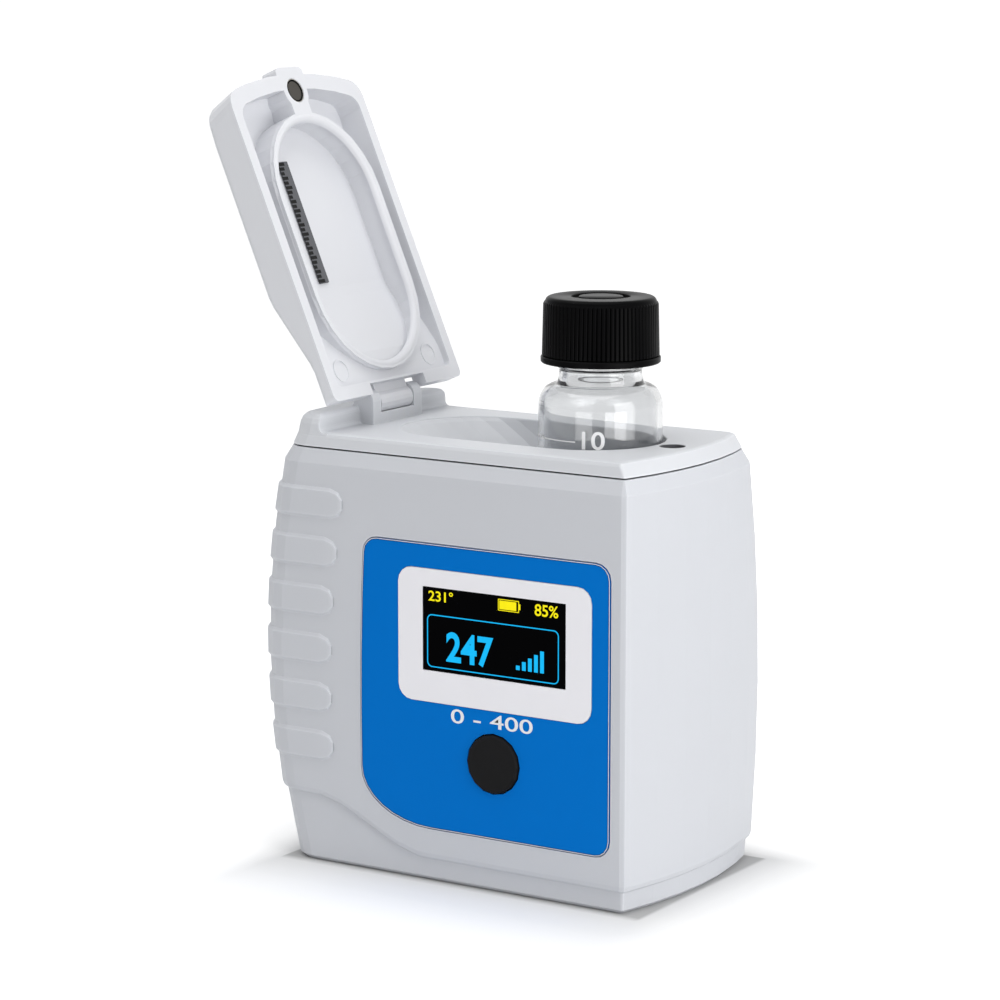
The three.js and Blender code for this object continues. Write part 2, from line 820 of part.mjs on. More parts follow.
function recessTray() {
  return loft([
    recessRing(recess_floor - recess_wall, 1, recess_radius + recess_wall),
    ...ramp_shares.map(([down, along]) => recessRing(deck_level - recess_drop * down, along,
      recess_radius + recess_wall)),
  ], flatEnd);
}

// The bracket that carries the hinge pin: a sill between two ears
function hingeBracket() {
  const back = block_face - bracket_sill;
  const front = hinge_x + ear_reach;
  const foot = deck_bottom + overrun;
  const top = hinge_level + ear_rise;
  const earSide = roundedOutline([
    [back, foot, 0],
    [front, foot, 0],
    [front, top, ear_round],
    [hinge_x - ear_run, top, ear_round],
    [back, block_level - block_round, 0],
  ]);
  const ears = [-1, 1].map((side) => {
    const outer = side * bracket_half;
    const inner = side * (bracket_half - ear_width);
    return runY(earSide, Math.min(outer, inner), Math.max(outer, inner));
  });
  return join(...ears, blockZ(back, front, -bracket_half, bracket_half, foot, deck_level + bracket_sill));
}

const lipRing = (inset, z) => atHeight(caseOutline(case_height, inset), z);

function topDeck() {
  const lip_inset = top_rim_wall + seat_gap;
  const lip_low = deck_bottom - deck_lip_depth;
  const lip = loft([lipRing(lip_inset, lip_low), lipRing(lip_inset, deck_bottom + overrun)], flatEnd)
    .subtract(loft([
      lipRing(lip_inset + deck_lip_wall, lip_low - overrun),
      lipRing(lip_inset + deck_lip_wall, deck_bottom),
    ], flatEnd));
  const post_low = deck_lug_level + deck_lug_height;
  const posts = deckPostPlaces.map(([x, y]) => rodZ(x, y, deck_post_radius, post_low + seat_gap,
    deck_bottom + overrun));
  const magnet_low = deck_level - deck_magnet_setback - magnet_length;
  const inside = loft([lipRing(lip_inset, recess_floor), lipRing(lip_inset, deck_level)], flatEnd);
  const magnetCup = rodZ(deck_magnet_x, 0, magnet_radius + recess_wall, magnet_low - recess_wall,
    deck_bottom + overrun / 2, plain_steps).intersect(inside);
  const solid = join(deckSlab(), endBlock(), recessTray(), lip, ...posts, hingeBracket(), magnetCup);

  const wellHole = rodZ(vial_x, 0, well_inner, recess_floor - recess_wall - overrun, recess_floor + overrun,
    fine_steps);
  const knuckleRoom = rodY(hinge_x, hinge_level, knuckle_radius + knuckle_room, ear_width - bracket_half,
    bracket_half - ear_width, plain_steps);
  const pinHole = rodY(hinge_x, hinge_level, pin_radius + pin_fit, pin_end_wall - slim_gap - bracket_half,
    bracket_half + overrun);
  const postBores = deckPostPlaces.map(([x, y]) => rodZ(x, y, screw_bore, deck_lug_level,
    post_low + deck_screw_length));
  const magnetBore = rodZ(deck_magnet_x, 0, magnet_radius + slim_gap, magnet_low - slim_gap,
    deck_level + overrun, plain_steps);
  return cut(solid, recessHollow(), wellHole, knuckleRoom, pinHole, ...postBores, magnetBore);
}

// Gasket that shows as the dark line between the deck and the case
const gasket_inset = 0.5;
const gasket_width = 1.1;
const gasket_clear = 0.05;

function deckGasket() {
  const bottom = case_height + gasket_clear;
  const top = deck_bottom - gasket_clear;
  const outer_inset = shoulder_inset + gasket_inset;
  const inner_inset = outer_inset + gasket_width;
  const band = (inset, low, high) => loft([lipRing(inset, low), lipRing(inset, high)], flatEnd);
  return band(outer_inset, bottom, top).subtract(band(inner_inset, bottom - overrun, top + overrun));
}

// Lid, drawn closed about its hinge: X away from the pin, Z up
const lid_rim_level = deck_level + seat_gap - hinge_level;
const lid_half = -(face_front + shoulder_inset + deck_draft_front) - lid_front_inset;
const lid_far_corner = face_right - shoulder_inset - deck_draft_right - lid_far_inset - hinge_x;
const lid_length = lid_far_corner + lid_far_bow - lid_near;
const lid_magnet_x = lid_near + lid_length - magnet_from_end;
const deck_magnet_x = hinge_x + lid_magnet_x + deck_magnet_outboard;

// How the lid's outer face rounds down to its far end, as shares of that rounding's length and drop
const far_edge_shares = [[1, 0], [0.62, 0.08], [0.36, 0.3], [0.15, 0.62], [-0.1, 1]];

// Height of the lid's outer face above its rim, at a distance from its near edge
const lidTop = [
  [0, lid_thin],
  [lid_ramp_start, lid_thin],
  [lid_ramp_start + lid_ramp_ease, lid_thin + lid_ease_rise],
  [lid_ramp_end - lid_ramp_ease, lid_thick - lid_ease_rise],
  [lid_ramp_end, lid_thick],
  ...far_edge_shares.map(([back, down]) => [
    lid_length - lid_far_round * back,
    lid_thick - lid_far_drop * down,
  ]),
];

function lidPlan(inset, nearInset, farInset, nearRadius, farRadius) {
  const near = lid_near + nearInset;
  const half = lid_half - inset;
  const far = lid_far_corner - farInset;
  return roundedOutline([
    [near, -half, nearRadius],
    [far, -half, farRadius],
    ...bowedSide([far, -half], [far, half], lid_far_bow, case_right_points),
    [far, half, farRadius],
    [near, half, nearRadius],
  ]);
}

function lidOuter() {
  const rings = lidTop.map(([along, height]) => {
    const x = lid_near + along;
    const top = lid_rim_level + height;
    const round = Math.min(lid_edge_round, height / 2);
    const section = roundedOutline([[-lid_half, lid_rim_level, 0], [lid_half, lid_rim_level, 0],
      [lid_half, top, round], [-lid_half, top, round]]);
    return section.map((point) => new THREE.Vector3(x, point.x, point.y));
  });
  rings[0] = rings[0].map(({ y, z }) => new THREE.Vector3(lid_near - overrun, y, z));
  const planRing = (z, lean, radius) => atHeight(lidPlan(0, 0, lean, lid_near_radius, radius), z);
  return loft(rings, fanEnd).intersect(loft([
    planRing(lid_rim_level - overrun, 0, lid_corner_radius),
    planRing(lid_rim_level, 0, lid_corner_radius),
    planRing(lid_rim_level + lid_thick + overrun, lid_far_lean, lid_outer_corner_radius),
  ], flatEnd));
}

// The hollow under the lid, less the oval ridge that keeps light off the vial and the magnet's boss
function lidHollow() {
  const floorSide = lidTop.map(([along, height]) => new THREE.Vector2(lid_near + along,
    lid_rim_level + height - lid_wall));
  const pocketSide = [
    new THREE.Vector2(lid_near + lid_length + overrun, lid_rim_level - overrun),
    new THREE.Vector2(lid_near, lid_rim_level - overrun),
    ...floorSide,
  ].reverse();
  const low = lid_rim_level - 3 * overrun;
  const high = lid_rim_level + lid_thick + overrun;
  const plan = lidPlan(lid_rim, lid_near_rim, lid_far_rim, lid_near_radius, lid_pocket_radius);
  const pocket = runY(pocketSide, -lid_half - overrun, lid_half + overrun)
    .intersect(riseZ(plan, low, high));
  const shieldNear = lid_near + shield_near_centre;
  const shieldFar = lid_near + shield_far_centre;
  const shieldOutline = (grow) => oblong(shieldNear, shieldFar, shield_radius + grow, fine_steps);
  const shield = riseZ(shieldOutline(shield_thickness), low, high)
    .subtract(riseZ(shieldOutline(0), low - overrun, high + overrun));
  const boss = rodZ(lid_magnet_x, 0, boss_radius, low, high, plain_steps);
  const web = blockZ(shieldFar + shield_radius, lid_near + lid_length - lid_far_rim / 2,
    -boss_web, boss_web, low, high);
  return cut(pocket, shield, boss, web);
}

// The knuckle between the bracket's ears, and the arm that joins it to the lid
function lidKnuckle() {
  const half = bracket_half - ear_width - run_gap;
  const skin = lid_rim_level + lid_thin;
  const inside = skin - lid_wall / 2;
  const root = lid_near + lid_notch_depth;
  const end = lid_near + lid_arm_length;
  const low = bracket_sill - hinge_rise + run_gap;
  const steps = 2 * corner_steps;
  const top = Array.from({ length: steps + 1 }, (_, i) => {
    const share = i / steps;
    const height = THREE.MathUtils.lerp(skin, knuckle_radius, THREE.MathUtils.smoothstep(share, 0, 1));
    return [end * (1 - share), height, 0];
  });
  const arm = roundedOutline([[0, low, 0], [root, low, 0], [root, inside, 0], [end, inside, 0], ...top]);
  return join(rodY(0, 0, knuckle_radius, -half, half, plain_steps), runY(arm, -half, half));
}

function lidTab() {
  const far = lid_near + lid_length + tab_reach;
  const near = far - tab_reach - lid_far_rim / 2;
  return riseZ(roundedOutline([
    [near, -tab_half, 0],
    [far, -tab_half, tab_round],
    [far, tab_half, tab_round],
    [near, tab_half, 0],
  ]), lid_rim_level, lid_rim_level + tab_thickness);
}

function lidShell() {
  const notch_half = bracket_half + lid_notch_room;
  const notch = blockZ(lid_near - overrun, lid_near + lid_notch_depth, -notch_half, notch_half,
    lid_rim_level - overrun, lid_rim_level + lid_thick);
  const shell = cut(lidOuter(), lidHollow(), notch);
  const magnetBore = rodZ(lid_magnet_x, 0, magnet_radius + slim_gap, lid_rim_level - overrun,
    lid_rim_level + magnet_setback + magnet_length, plain_steps);
  const pinBore = rodY(0, 0, pin_radius + pin_fit, -bracket_half, bracket_half);
  return cut(join(shell, lidTab(), lidKnuckle()), magnetBore, pinBore);
}

const magnetSolid = (x, z0, z1) => rodZ(x, 0, magnet_radius, z0, z1, plain_steps);

function lidStrip() {
  const top = lid_rim_level + lid_thick - lid_wall - slim_gap;
  const x = lid_near + lid_strip_near;
  return blockZ(x, x + lid_strip_length, lid_strip_side, lid_strip_side + lid_strip_width,
    top - lid_strip_thickness, top);
}

// Vial, drawn with its underside at height 0
const vial_shoulder_shares = [[1, 0], [0.9, 0.3], [0.69, 0.59], [0.38, 0.78], [0, 1]];

function vialGlass() {
  const inner = vial_radius - vial_wall;
  const body_top = vial_height - vial_shoulder_drop;
  const flare = vial_height - vial_flare_drop;
  const shoulder = vial_shoulder_shares.map(([out, up]) => [
    THREE.MathUtils.lerp(vial_neck_radius, vial_radius, out),
    body_top + vial_shoulder_height * up,
  ]);
  const lip = vial_lip_height / 4;
  const outside = [[0, 0], [vial_radius - vial_floor / 2, 0], [vial_radius, vial_floor / 2], ...shoulder,
    [vial_neck_radius, vial_height - lip], [vial_neck_radius - lip, vial_height]];
  const inside = [[vial_bore, vial_height], [vial_bore, flare + vial_flare_rise], [vial_bore_flare, flare],
    [vial_inner_shoulder, vial_height - vial_inner_shoulder_drop], [inner, body_top],
    [inner, vial_floor + vial_wall], [inner - vial_wall, vial_floor], [0, vial_floor]];
  return turned([...outside, ...inside], fine_steps);
}

const liner_level = vial_height + slim_gap;
const cap_inner_level = liner_level + liner_thickness + slim_gap;
const cap_top_level = cap_inner_level + cap_roof;
const cap_bottom_level = cap_top_level - cap_height;

function vialCap() {
  const ribBottom = cap_bottom_level + cap_flange_height / 2;
  const ribTop = cap_top_level - cap_edge;
  const ribRing = (radius, z) => Array.from({ length: 2 * cap_rib_count }, (_, i) => {
    const angle = (Math.PI * i) / cap_rib_count;
    const reach = i % 2 ? radius - cap_rib_depth : radius;
    return new THREE.Vector3(reach * Math.cos(angle), reach * Math.sin(angle), z);
  });
  const ribbed = loft([
    ribRing(cap_rib_radius, ribBottom),
    ribRing(cap_rib_radius - cap_rib_taper, ribTop),
  ], flatEnd);
  const flange_top = cap_bottom_level + cap_flange_height;
  const flange = turned([[0, cap_bottom_level], [cap_radius, cap_bottom_level], [cap_radius, flange_top],
    [0, flange_top]], fine_steps);
  const edge = cap_rib_radius - cap_rib_taper - cap_rib_depth;
  const crown = turned([
    [0, cap_top_level - 2 * cap_edge],
    [edge, cap_top_level - 2 * cap_edge],
    ...roundOver(tight_steps + 1).map(([inward, down]) => [
      edge - cap_edge * inward,
      cap_top_level - cap_edge * down,
    ]),
    [cap_ring_outer, cap_top_level],
    [cap_ring_outer, cap_top_level - cap_ring_depth],
    [cap_ring_inner, cap_top_level - cap_ring_depth],
    [cap_ring_inner, cap_top_level],
    [0, cap_top_level],
  ], fine_steps);
  const bore = rodZ(0, 0, cap_bore, cap_bottom_level - overrun, cap_inner_level, fine_steps);
  return join(ribbed, flange, crown).subtract(bore);
}

const capLiner = () => rodZ(0, 0, liner_radius, liner_level, liner_level + liner_thickness, plain_steps);

// Well that holds the vial, with a port each side for the lamp and the detector
const well_bottom = vial_seated_level - well_drop - well_floor;
const grip_ring_level = recess_floor - recess_wall - slim_gap - grip_ring_height;
const well_top = grip_ring_level - slim_gap;

function vialWell() {
  const floor = well_bottom + well_floor;
  const near = vial_x - port_reach;
  const far = vial_x + port_reach;
  const tube = rodZ(vial_x, 0, well_outer, well_bottom, well_top, fine_steps);
  const core = rodZ(vial_x, 0, well_inner, floor, well_top + overrun, fine_steps);
  const port = rodX(0, optic_level, port_radius + port_wall, near, far, plain_steps);
  const bore = rodX(0, optic_level, port_radius, near - overrun, far + overrun, plain_steps);
  return cut(tube.add(port), core, bore);
}

function gripRing() {
  const inner = vial_radius + grip_ring_clearance;
  const outer = inner + grip_ring_width;
  const top = grip_ring_level + grip_ring_height;
  return turned([[inner, grip_ring_level], [outer, grip_ring_level], [outer, top], [inner, top]],
    fine_steps, vial_x, 0);
}

// Lamp or detector: a lens with a dome, lying along +X from its flange to its tip
function lensSolid() {
  const dome = lens_length - lens_radius;
  const profile = [
    [0, 0],
    [lens_flange, 0],
    [lens_flange, lens_flange_height],
    [lens_radius, lens_flange_height],
    [lens_radius, dome],
  ];
  for (let k = 1; k <= corner_steps; k += 1) {
    const angle = (Math.PI / 2) * (k / corner_steps);
    profile.push([lens_radius * Math.cos(angle), dome + lens_radius * Math.sin(angle)]);
  }
  return turned(profile, small_steps);
}

const lens_seat = port_reach + slim_gap;
const optic_board_near = lens_seat + lens_flange_height + seat_gap;
const opticBoard = (side) => {
  const near = vial_x + side * optic_board_near;
  const far = near + side * optic_board_thickness;
  return blockZ(Math.min(near, far), Math.max(near, far), -optic_board_width / 2, optic_board_width / 2,
    optic_level - optic_board_height / 2, optic_level + optic_board_height / 2);
};

// Front panel pieces, each lying in the pocket of the display face
const overlay_front = pocket_level - overlay_thickness;
const panelPlate = (outline, ...holes) => cut(runY(outline, overlay_front, pocket_level), ...holes);

function frontOverlay() {
  const reach = [overlay_front - overrun, pocket_level + overrun];
  return panelPlate(overlayOutline(0),
    runY(framed(bezel_x, bezel_z, bezel_width, bezel_height, bezel_round, slim_gap), ...reach),
    rodY(bezel_x, button_z, button_radius + run_gap, ...reach, plain_steps));
}

const displayBezel = () => panelPlate(framed(bezel_x, bezel_z, bezel_width, bezel_height, bezel_round),
  runY(framed(bezel_x, screen_z, screen_width, screen_height, 0, slim_gap), overlay_front - overrun,
    pocket_level + overrun));

const displayWindow = () => panelPlate(framed(bezel_x, screen_z, screen_width, screen_height, 0));

const panel_glass_front = face_inside + slim_gap;
const display_board_front = panel_glass_front + panel_glass_thickness + slim_gap;
const displayPanel = () => runY(framed(bezel_x, screen_z, panel_glass_width, panel_glass_height, 0),
  panel_glass_front, panel_glass_front + panel_glass_thickness);
const displayBoard = () => runY(framed(bezel_x, screen_z, display_board_width, display_board_height, 0),
  display_board_front, display_board_front + display_board_thickness);
const header_z = screen_z + display_board_height / 2 - header_height;
const displayHeader = () => runY(framed(bezel_x, header_z, header_width, header_height, 0),
  display_board_front + display_board_thickness + slim_gap / 2, main_board_front - slim_gap / 2);

function mainBoard() {
  const outline = box2(main_board_left, main_board_bottom, main_board_right, main_board_top, screw_radius);
  const plate = runY(outline, main_board_front, main_board_front + board_thickness);
  return cut(plate, ...boardScrewPlaces.map(([x, z]) => rodY(x, z, screw_bore, main_board_front - overrun,
    main_board_front + board_thickness + overrun)));
}

const board_back = main_board_front + board_thickness;
const controllerChip = () => runY(framed(chip_x, chip_z, chip_side, chip_side, 0), board_back + slim_gap,
  board_back + slim_gap + chip_thickness);

// Button and the switch that it presses
const button_face = overlay_front - button_proud;
const button_flange_near = face_inside + slim_gap;
const button_stem_end = button_flange_near + button_flange_thickness + button_stem / 4;
const switch_tip = button_stem_end + button_travel + slim_gap;

function buttonKeycap() {
  const edge = button_proud / 2;
  const profile = [[0, 0], [button_radius - edge, 0], [button_radius, edge],
    [button_radius, button_flange_near - button_face],
    [button_flange, button_flange_near - button_face],
    [button_flange, button_flange_near + button_flange_thickness - button_face],
    [button_stem, button_flange_near + button_flange_thickness - button_face],
    [button_stem, button_stem_end - button_face], [0, button_stem_end - button_face]];
  return turned(profile, plain_steps);
}

function tactSwitch() {
  const body_front = switch_tip + switch_plunger_length;
  const outline = framed(bezel_x, button_z, switch_side, switch_side, 0);
  const body = runY(outline, body_front, main_board_front - slim_gap);
  const plunger = rodY(bezel_x, button_z, switch_plunger_radius, switch_tip, body_front + slim_gap);
  return join(body, plunger);
}

// Battery bay, open to the back
function batteryBay() {
  const outer = blockZ(bay_left, bay_right, bay_front, bay_rim, bay_bottom, bay_top);
  const inner = blockZ(bay_left + bay_wall, bay_right - bay_wall, bay_front + bay_wall, bay_rim + overrun,
    bay_bottom + bay_wall, bay_top - bay_wall);
  return outer.subtract(inner);
}

function batteryCell() {
  const edge = battery_nub_height / 2;
  return turned([
    [0, 0],
    [battery_radius - edge, 0],
    [battery_radius, edge],
    [battery_radius, battery_length - edge],
    [battery_radius - edge, battery_length],
    [battery_nub_radius, battery_length],
    [battery_nub_radius, battery_length + battery_nub_height],
    [0, battery_length + battery_nub_height],
  ], plain_steps);
}

// A conical contact spring: one wire that climbs as its turns draw in
class ConeCurve extends THREE.Curve {
  getPoint(share, target = new THREE.Vector3()) {
    const angle = 2 * Math.PI * spring_turns * share;
    const radius = THREE.MathUtils.lerp(spring_big, spring_small, share);
    const low = spring_wire + slim_gap;
    const height = THREE.MathUtils.lerp(low, spring_space - low, share);
    return target.set(radius * Math.cos(angle), radius * Math.sin(angle), height);
  }
}

const spring_steps = 8;
const spring_sides = 5;

function contactSpring() {
  const section = Array.from({ length: spring_sides }, (_, i) => {
    const angle = (2 * Math.PI * i) / spring_sides;
    return new THREE.Vector2(spring_wire * Math.cos(angle), spring_wire * Math.sin(angle));
  });
  return toSolid(new THREE.ExtrudeGeometry(new THREE.Shape(section),
    { steps: spring_steps * spring_turns, extrudePath: new ConeCurve(), bevelEnabled: false }));
}

const contactPlate = () => blockZ(-contact_side / 2, contact_side / 2, -contact_side / 2, contact_side / 2,
  -contact_thickness, 0);

// Battery door, drawn in place: a piece of the case wall with a rounded lower edge on its pivot line
function batteryDoor() {
  const skin = caseBody().subtract(caseHollow());
  const plate = skin.intersect(blockZ(door_left, door_right, battery_y, back_reach + overrun,
    door_axis_z, door_top));
  const edge = rodX(door_axis_y, door_axis_z, door_edge_radius, door_left, door_right, plain_steps);
  const middle = (door_left + door_right) / 2;
  const ribs = Array.from({ length: door_rib_count }, (_, i) => {
    const z = door_top - door_rib_drop - i * door_rib_pitch;
    const face = backAt(z);
    return blockZ(middle - door_rib_length / 2, middle + door_rib_length / 2, face - door_rib_relief,
      face + door_rib_relief, z - door_rib_width / 2, z + door_rib_width / 2);
  });
  return join(plate, edge, ...ribs);
}

// Materials
const finish = (color, roughness, metalness = 0, extra = {}) => new THREE.MeshStandardMaterial(
  { color, roughness, metalness, ...extra });
const case_plastic = finish('#d5d7db', 0.42);
const lid_plastic = finish('#e4e5e9', 0.4);
const black_plastic = finish('#17181a', 0.45);
const soft_black = finish('#242424', 0.7);
const blue_film = finish('#0070c8', 0.35);
const white_film = finish('#e8e8ec', 0.35);
const clear_glass = finish('#eef3f5', 0.05, 0, { transparent: true, opacity: 0.3 });
const screen_black = finish('#050608', 0.1);
const steel = finish('#b9bcc0', 0.3, 1);
const magnet_plate = finish('#6f665f', 0.35, 1);
const board_green = finish('#1f5d3a', 0.55);
const battery_sleeve = finish('#3c4248', 0.4, 0.2);
const lamp_clear = finish('#dfe9f2', 0.1);
const liner_white = finish('#eceae4', 0.6);
const strip_grey = finish('#6b6d71', 0.6);
const seal_rubber = finish('#2a2b2d', 0.8);

// Assembly
const colorimeter = new THREE.Group();

function place(parent, name, solid, material, x = 0, y = 0, z = 0) {
  const mesh = new THREE.Mesh(toGeometry(solid), material);
  mesh.name = name;
  mesh.position.set(x, y, z);
  parent.add(mesh);
  return mesh;
}

place(colorimeter, 'main_housing', mainHousing(), case_plastic);
place(colorimeter, 'base_plate', basePlate(), case_plastic);
place(colorimeter, 'top_deck', topDeck(), case_plastic);
place(colorimeter, 'deck_gasket', deckGasket(), seal_rubber);
const deck_magnet_top = deck_level - deck_magnet_setback;
place(colorimeter, 'deck_magnet', magnetSolid(deck_magnet_x, deck_magnet_top - magnet_length,
  deck_magnet_top), magnet_plate);
place(colorimeter, 'hinge_pin', rodY(hinge_x, hinge_level, pin_radius, pin_end_wall - bracket_half,
  bracket_half - slim_gap), steel);

const lid = new THREE.Group();
lid.position.set(hinge_x, 0, hinge_level);
lid.rotation.y = -THREE.MathUtils.degToRad(lid_open_angle);
colorimeter.add(lid);
place(lid, 'lid', lidShell(), lid_plastic);
const lid_magnet_low = lid_rim_level + magnet_setback;
place(lid, 'lid_magnet', magnetSolid(lid_magnet_x, lid_magnet_low,
  lid_magnet_low + magnet_length - slim_gap), magnet_plate);
place(lid, 'lid_strip', lidStrip(), strip_grey);

const vial = new THREE.Group();
vial.position.set(vial_x, 0, vial_level);
colorimeter.add(vial);
place(vial, 'vial_glass', vialGlass(), clear_glass);
place(vial, 'cap_liner', capLiner(), liner_white);
place(vial, 'vial_cap', vialCap(), black_plastic);

place(colorimeter, 'vial_well', vialWell(), black_plastic);
place(colorimeter, 'grip_ring', gripRing(), seal_rubber);
place(colorimeter, 'lamp_board', opticBoard(1), board_green);
place(colorimeter, 'detector_board', opticBoard(-1), board_green);
const lens_foot = lens_seat + lens_flange_height;
const lamp = place(colorimeter, 'lamp', lensSolid(), lamp_clear, vial_x + lens_foot, 0, optic_level);
lamp.rotation.y = -Math.PI / 2;
const detector = place(colorimeter, 'detector', lensSolid(), soft_black, vial_x - lens_foot, 0,
  optic_level);
detector.rotation.y = Math.PI / 2;

place(colorimeter, 'front_overlay', frontOverlay(), blue_film);
place(colorimeter, 'display_bezel', displayBezel(), white_film);
place(colorimeter, 'display_window', displayWindow(), screen_black);
place(colorimeter, 'display_panel', displayPanel(), screen_black);
place(colorimeter, 'display_board', displayBoard(), board_green);
place(colorimeter, 'display_header', displayHeader(), black_plastic);
place(colorimeter, 'main_board', mainBoard(), board_green);
place(colorimeter, 'controller_chip', controllerChip(), black_plastic);
const keycap = place(colorimeter, 'power_button', buttonKeycap(), soft_black, bezel_x, button_face,
  button_z);
keycap.rotation.x = -Math.PI / 2;
place(colorimeter, 'button_switch', tactSwitch(), steel);

place(colorimeter, 'battery_bay', batteryBay(), black_plastic);
place(colorimeter, 'battery_door', batteryDoor(), case_plastic);
for (let i = 0; i < battery_count; i += 1) {
  const label = i + 1;
  const x = batteryX(i);
  place(colorimeter, `battery_${label}`, batteryCell(), battery_sleeve, x, battery_y, battery_level);
  place(colorimeter, `battery_spring_${label}`, contactSpring(), steel, x, battery_y,
    bay_bottom + bay_wall);
  place(colorimeter, `battery_contact_${label}`, contactPlate(), steel, x, battery_y,
    bay_top - bay_wall - slim_gap);
}

caseScrewPlaces.forEach(([x, y], i) => place(colorimeter, `base_screw_${i + 1}`,
  screwSolid(case_screw_length), steel, x, y, screw_head_height + slim_gap));
deckPostPlaces.forEach(([x, y], i) => place(colorimeter, `deck_screw_${i + 1}`,
  screwSolid(deck_screw_length), steel, x, y, deck_lug_level - slim_gap));
boardScrewPlaces.forEach(([x, z], i) => {
  const screw = place(colorimeter, `board_screw_${i + 1}`, screwSolid(board_screw_length), steel,
    x, board_back + slim_gap, z);
  screw.rotation.x = Math.PI / 2;
});

export default colorimeter;
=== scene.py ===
"""A palm-size water colorimeter with its lid open and its sample vial drawn up, on a white studio table."""
import json
import math

import bmesh
import bpy
from mathutils import Matrix, Vector


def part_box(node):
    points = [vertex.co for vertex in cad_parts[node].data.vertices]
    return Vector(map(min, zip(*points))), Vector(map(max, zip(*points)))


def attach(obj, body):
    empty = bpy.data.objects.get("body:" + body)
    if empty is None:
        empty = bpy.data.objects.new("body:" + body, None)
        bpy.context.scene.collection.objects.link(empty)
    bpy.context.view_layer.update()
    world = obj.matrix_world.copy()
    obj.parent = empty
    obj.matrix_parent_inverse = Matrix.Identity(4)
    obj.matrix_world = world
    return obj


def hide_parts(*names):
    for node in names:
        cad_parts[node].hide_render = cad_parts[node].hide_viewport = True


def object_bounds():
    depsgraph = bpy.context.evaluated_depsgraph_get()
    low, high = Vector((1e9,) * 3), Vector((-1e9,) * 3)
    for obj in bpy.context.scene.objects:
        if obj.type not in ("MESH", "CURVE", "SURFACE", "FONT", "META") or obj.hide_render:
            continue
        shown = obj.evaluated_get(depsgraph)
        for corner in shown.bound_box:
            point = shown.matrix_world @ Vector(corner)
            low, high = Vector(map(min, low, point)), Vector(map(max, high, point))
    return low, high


MM = 0.001

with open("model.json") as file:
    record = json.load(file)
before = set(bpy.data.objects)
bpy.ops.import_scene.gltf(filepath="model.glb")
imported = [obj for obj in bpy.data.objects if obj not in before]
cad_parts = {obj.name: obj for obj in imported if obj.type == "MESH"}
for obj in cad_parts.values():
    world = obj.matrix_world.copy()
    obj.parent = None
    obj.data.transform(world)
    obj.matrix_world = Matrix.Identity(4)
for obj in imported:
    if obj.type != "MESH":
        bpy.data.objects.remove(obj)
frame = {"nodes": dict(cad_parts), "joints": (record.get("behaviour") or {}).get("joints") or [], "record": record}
nodes = frame["nodes"]
cad_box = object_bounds()
joints = {joint["name"]: joint for joint in frame["joints"]}

# Camera, fitted to the photograph
CAMERA_PLACE = Vector((373.4, -593.3, 198.4)) * MM
CAMERA_TURN = math.radians(32.64)
CAMERA_DOWN = math.radians(9.905)
CAMERA_LENS = 124.95


def add_object(name, data):
    obj = bpy.data.objects.new(name, data)
    bpy.context.scene.collection.objects.link(obj)
    return obj


def photo_camera():
    lens = bpy.data.cameras.new("photo_camera")
    lens.lens = CAMERA_LENS
    lens.sensor_width = 36
    lens.clip_start = 0.05
    lens.clip_end = 20
    camera = add_object("photo_camera", lens)
    camera.location = CAMERA_PLACE
    camera.rotation_euler = (math.pi / 2 - CAMERA_DOWN, 0, CAMERA_TURN)
    bpy.context.scene.camera = camera


# Effects shared by several finishes, as node groups. A scale is that of a noise, per metre, and each pair
# says where a mask starts and where it is full

DRIFT_SCALE = 28.0
CLOUD_SCALE = 90.0
EDGE_AGREEMENT = (0.995, 0.85)
SCUFF_NOISE = (0.6, 0.8)
FULL_SHADE = 0.35
BLOCK_SCALE = 220.0
BLOCK_EDGE = (0.25, 0.3)
TRACK_EDGE = (0.55, 0.7)


class Graph:
    """A short way to build and join shader nodes."""

    def __init__(self, tree):
        self.tree = tree

    def add(self, kind, **inputs):
        node = self.tree.nodes.new(kind)
        for name, value in inputs.items():
            self.feed(node, name.replace("_", " "), value)
        return node

    def feed(self, node, name, value):
        socket = node.inputs[name]
        if isinstance(value, bpy.types.NodeSocket):
            self.tree.links.new(value, socket)
        else:
            socket.default_value = value

    def math(self, operation, first, second=0.0, third=0.0):
        node = self.tree.nodes.new("ShaderNodeMath")
        node.operation = operation
        for i, value in enumerate((first, second, third)):
            self.feed(node, i, value)
        return node.outputs[0]

    def noise(self, vector, scale, detail=3.0, roughness=0.5):
        node = self.add("ShaderNodeTexNoise", Vector=vector, Scale=scale, Detail=detail,
                        Roughness=roughness)
        return node.outputs["Fac"]

    def spread(self, value, low, high, to_low, to_high):
        node = self.add("ShaderNodeMapRange")
        for i, amount in enumerate((value, low, high, to_low, to_high)):
            self.feed(node, i, amount)
        return node.outputs[0]

    def mix(self, share, first, second):
        node = self.tree.nodes.new("ShaderNodeMix")
        node.data_type = "RGBA"
        self.feed(node, 0, share)
        self.feed(node, 6, first)
        self.feed(node, 7, second)
        return node.outputs[2]

    def brighten(self, colour, gain):
        node = self.add("ShaderNodeHueSaturation", Color=colour, Value=gain)
        return node.outputs[0]


def effect_group(name, inputs, outputs):
    """A node group with named sockets: its tree, its graph, its input sockets and its output node."""
    tree = bpy.data.node_groups.new(name, "ShaderNodeTree")
    for label, kind, value in inputs:
        socket = tree.interface.new_socket(label, in_out="INPUT", socket_type=f"NodeSocket{kind}")
        if value is not None:
            socket.default_value = value
    for label, kind in outputs:
        tree.interface.new_socket(label, in_out="OUTPUT", socket_type=f"NodeSocket{kind}")
    graph = Graph(tree)
    entry = tree.nodes.new("NodeGroupInput")
    leave = tree.nodes.new("NodeGroupOutput")
    return tree, graph, entry.outputs, leave


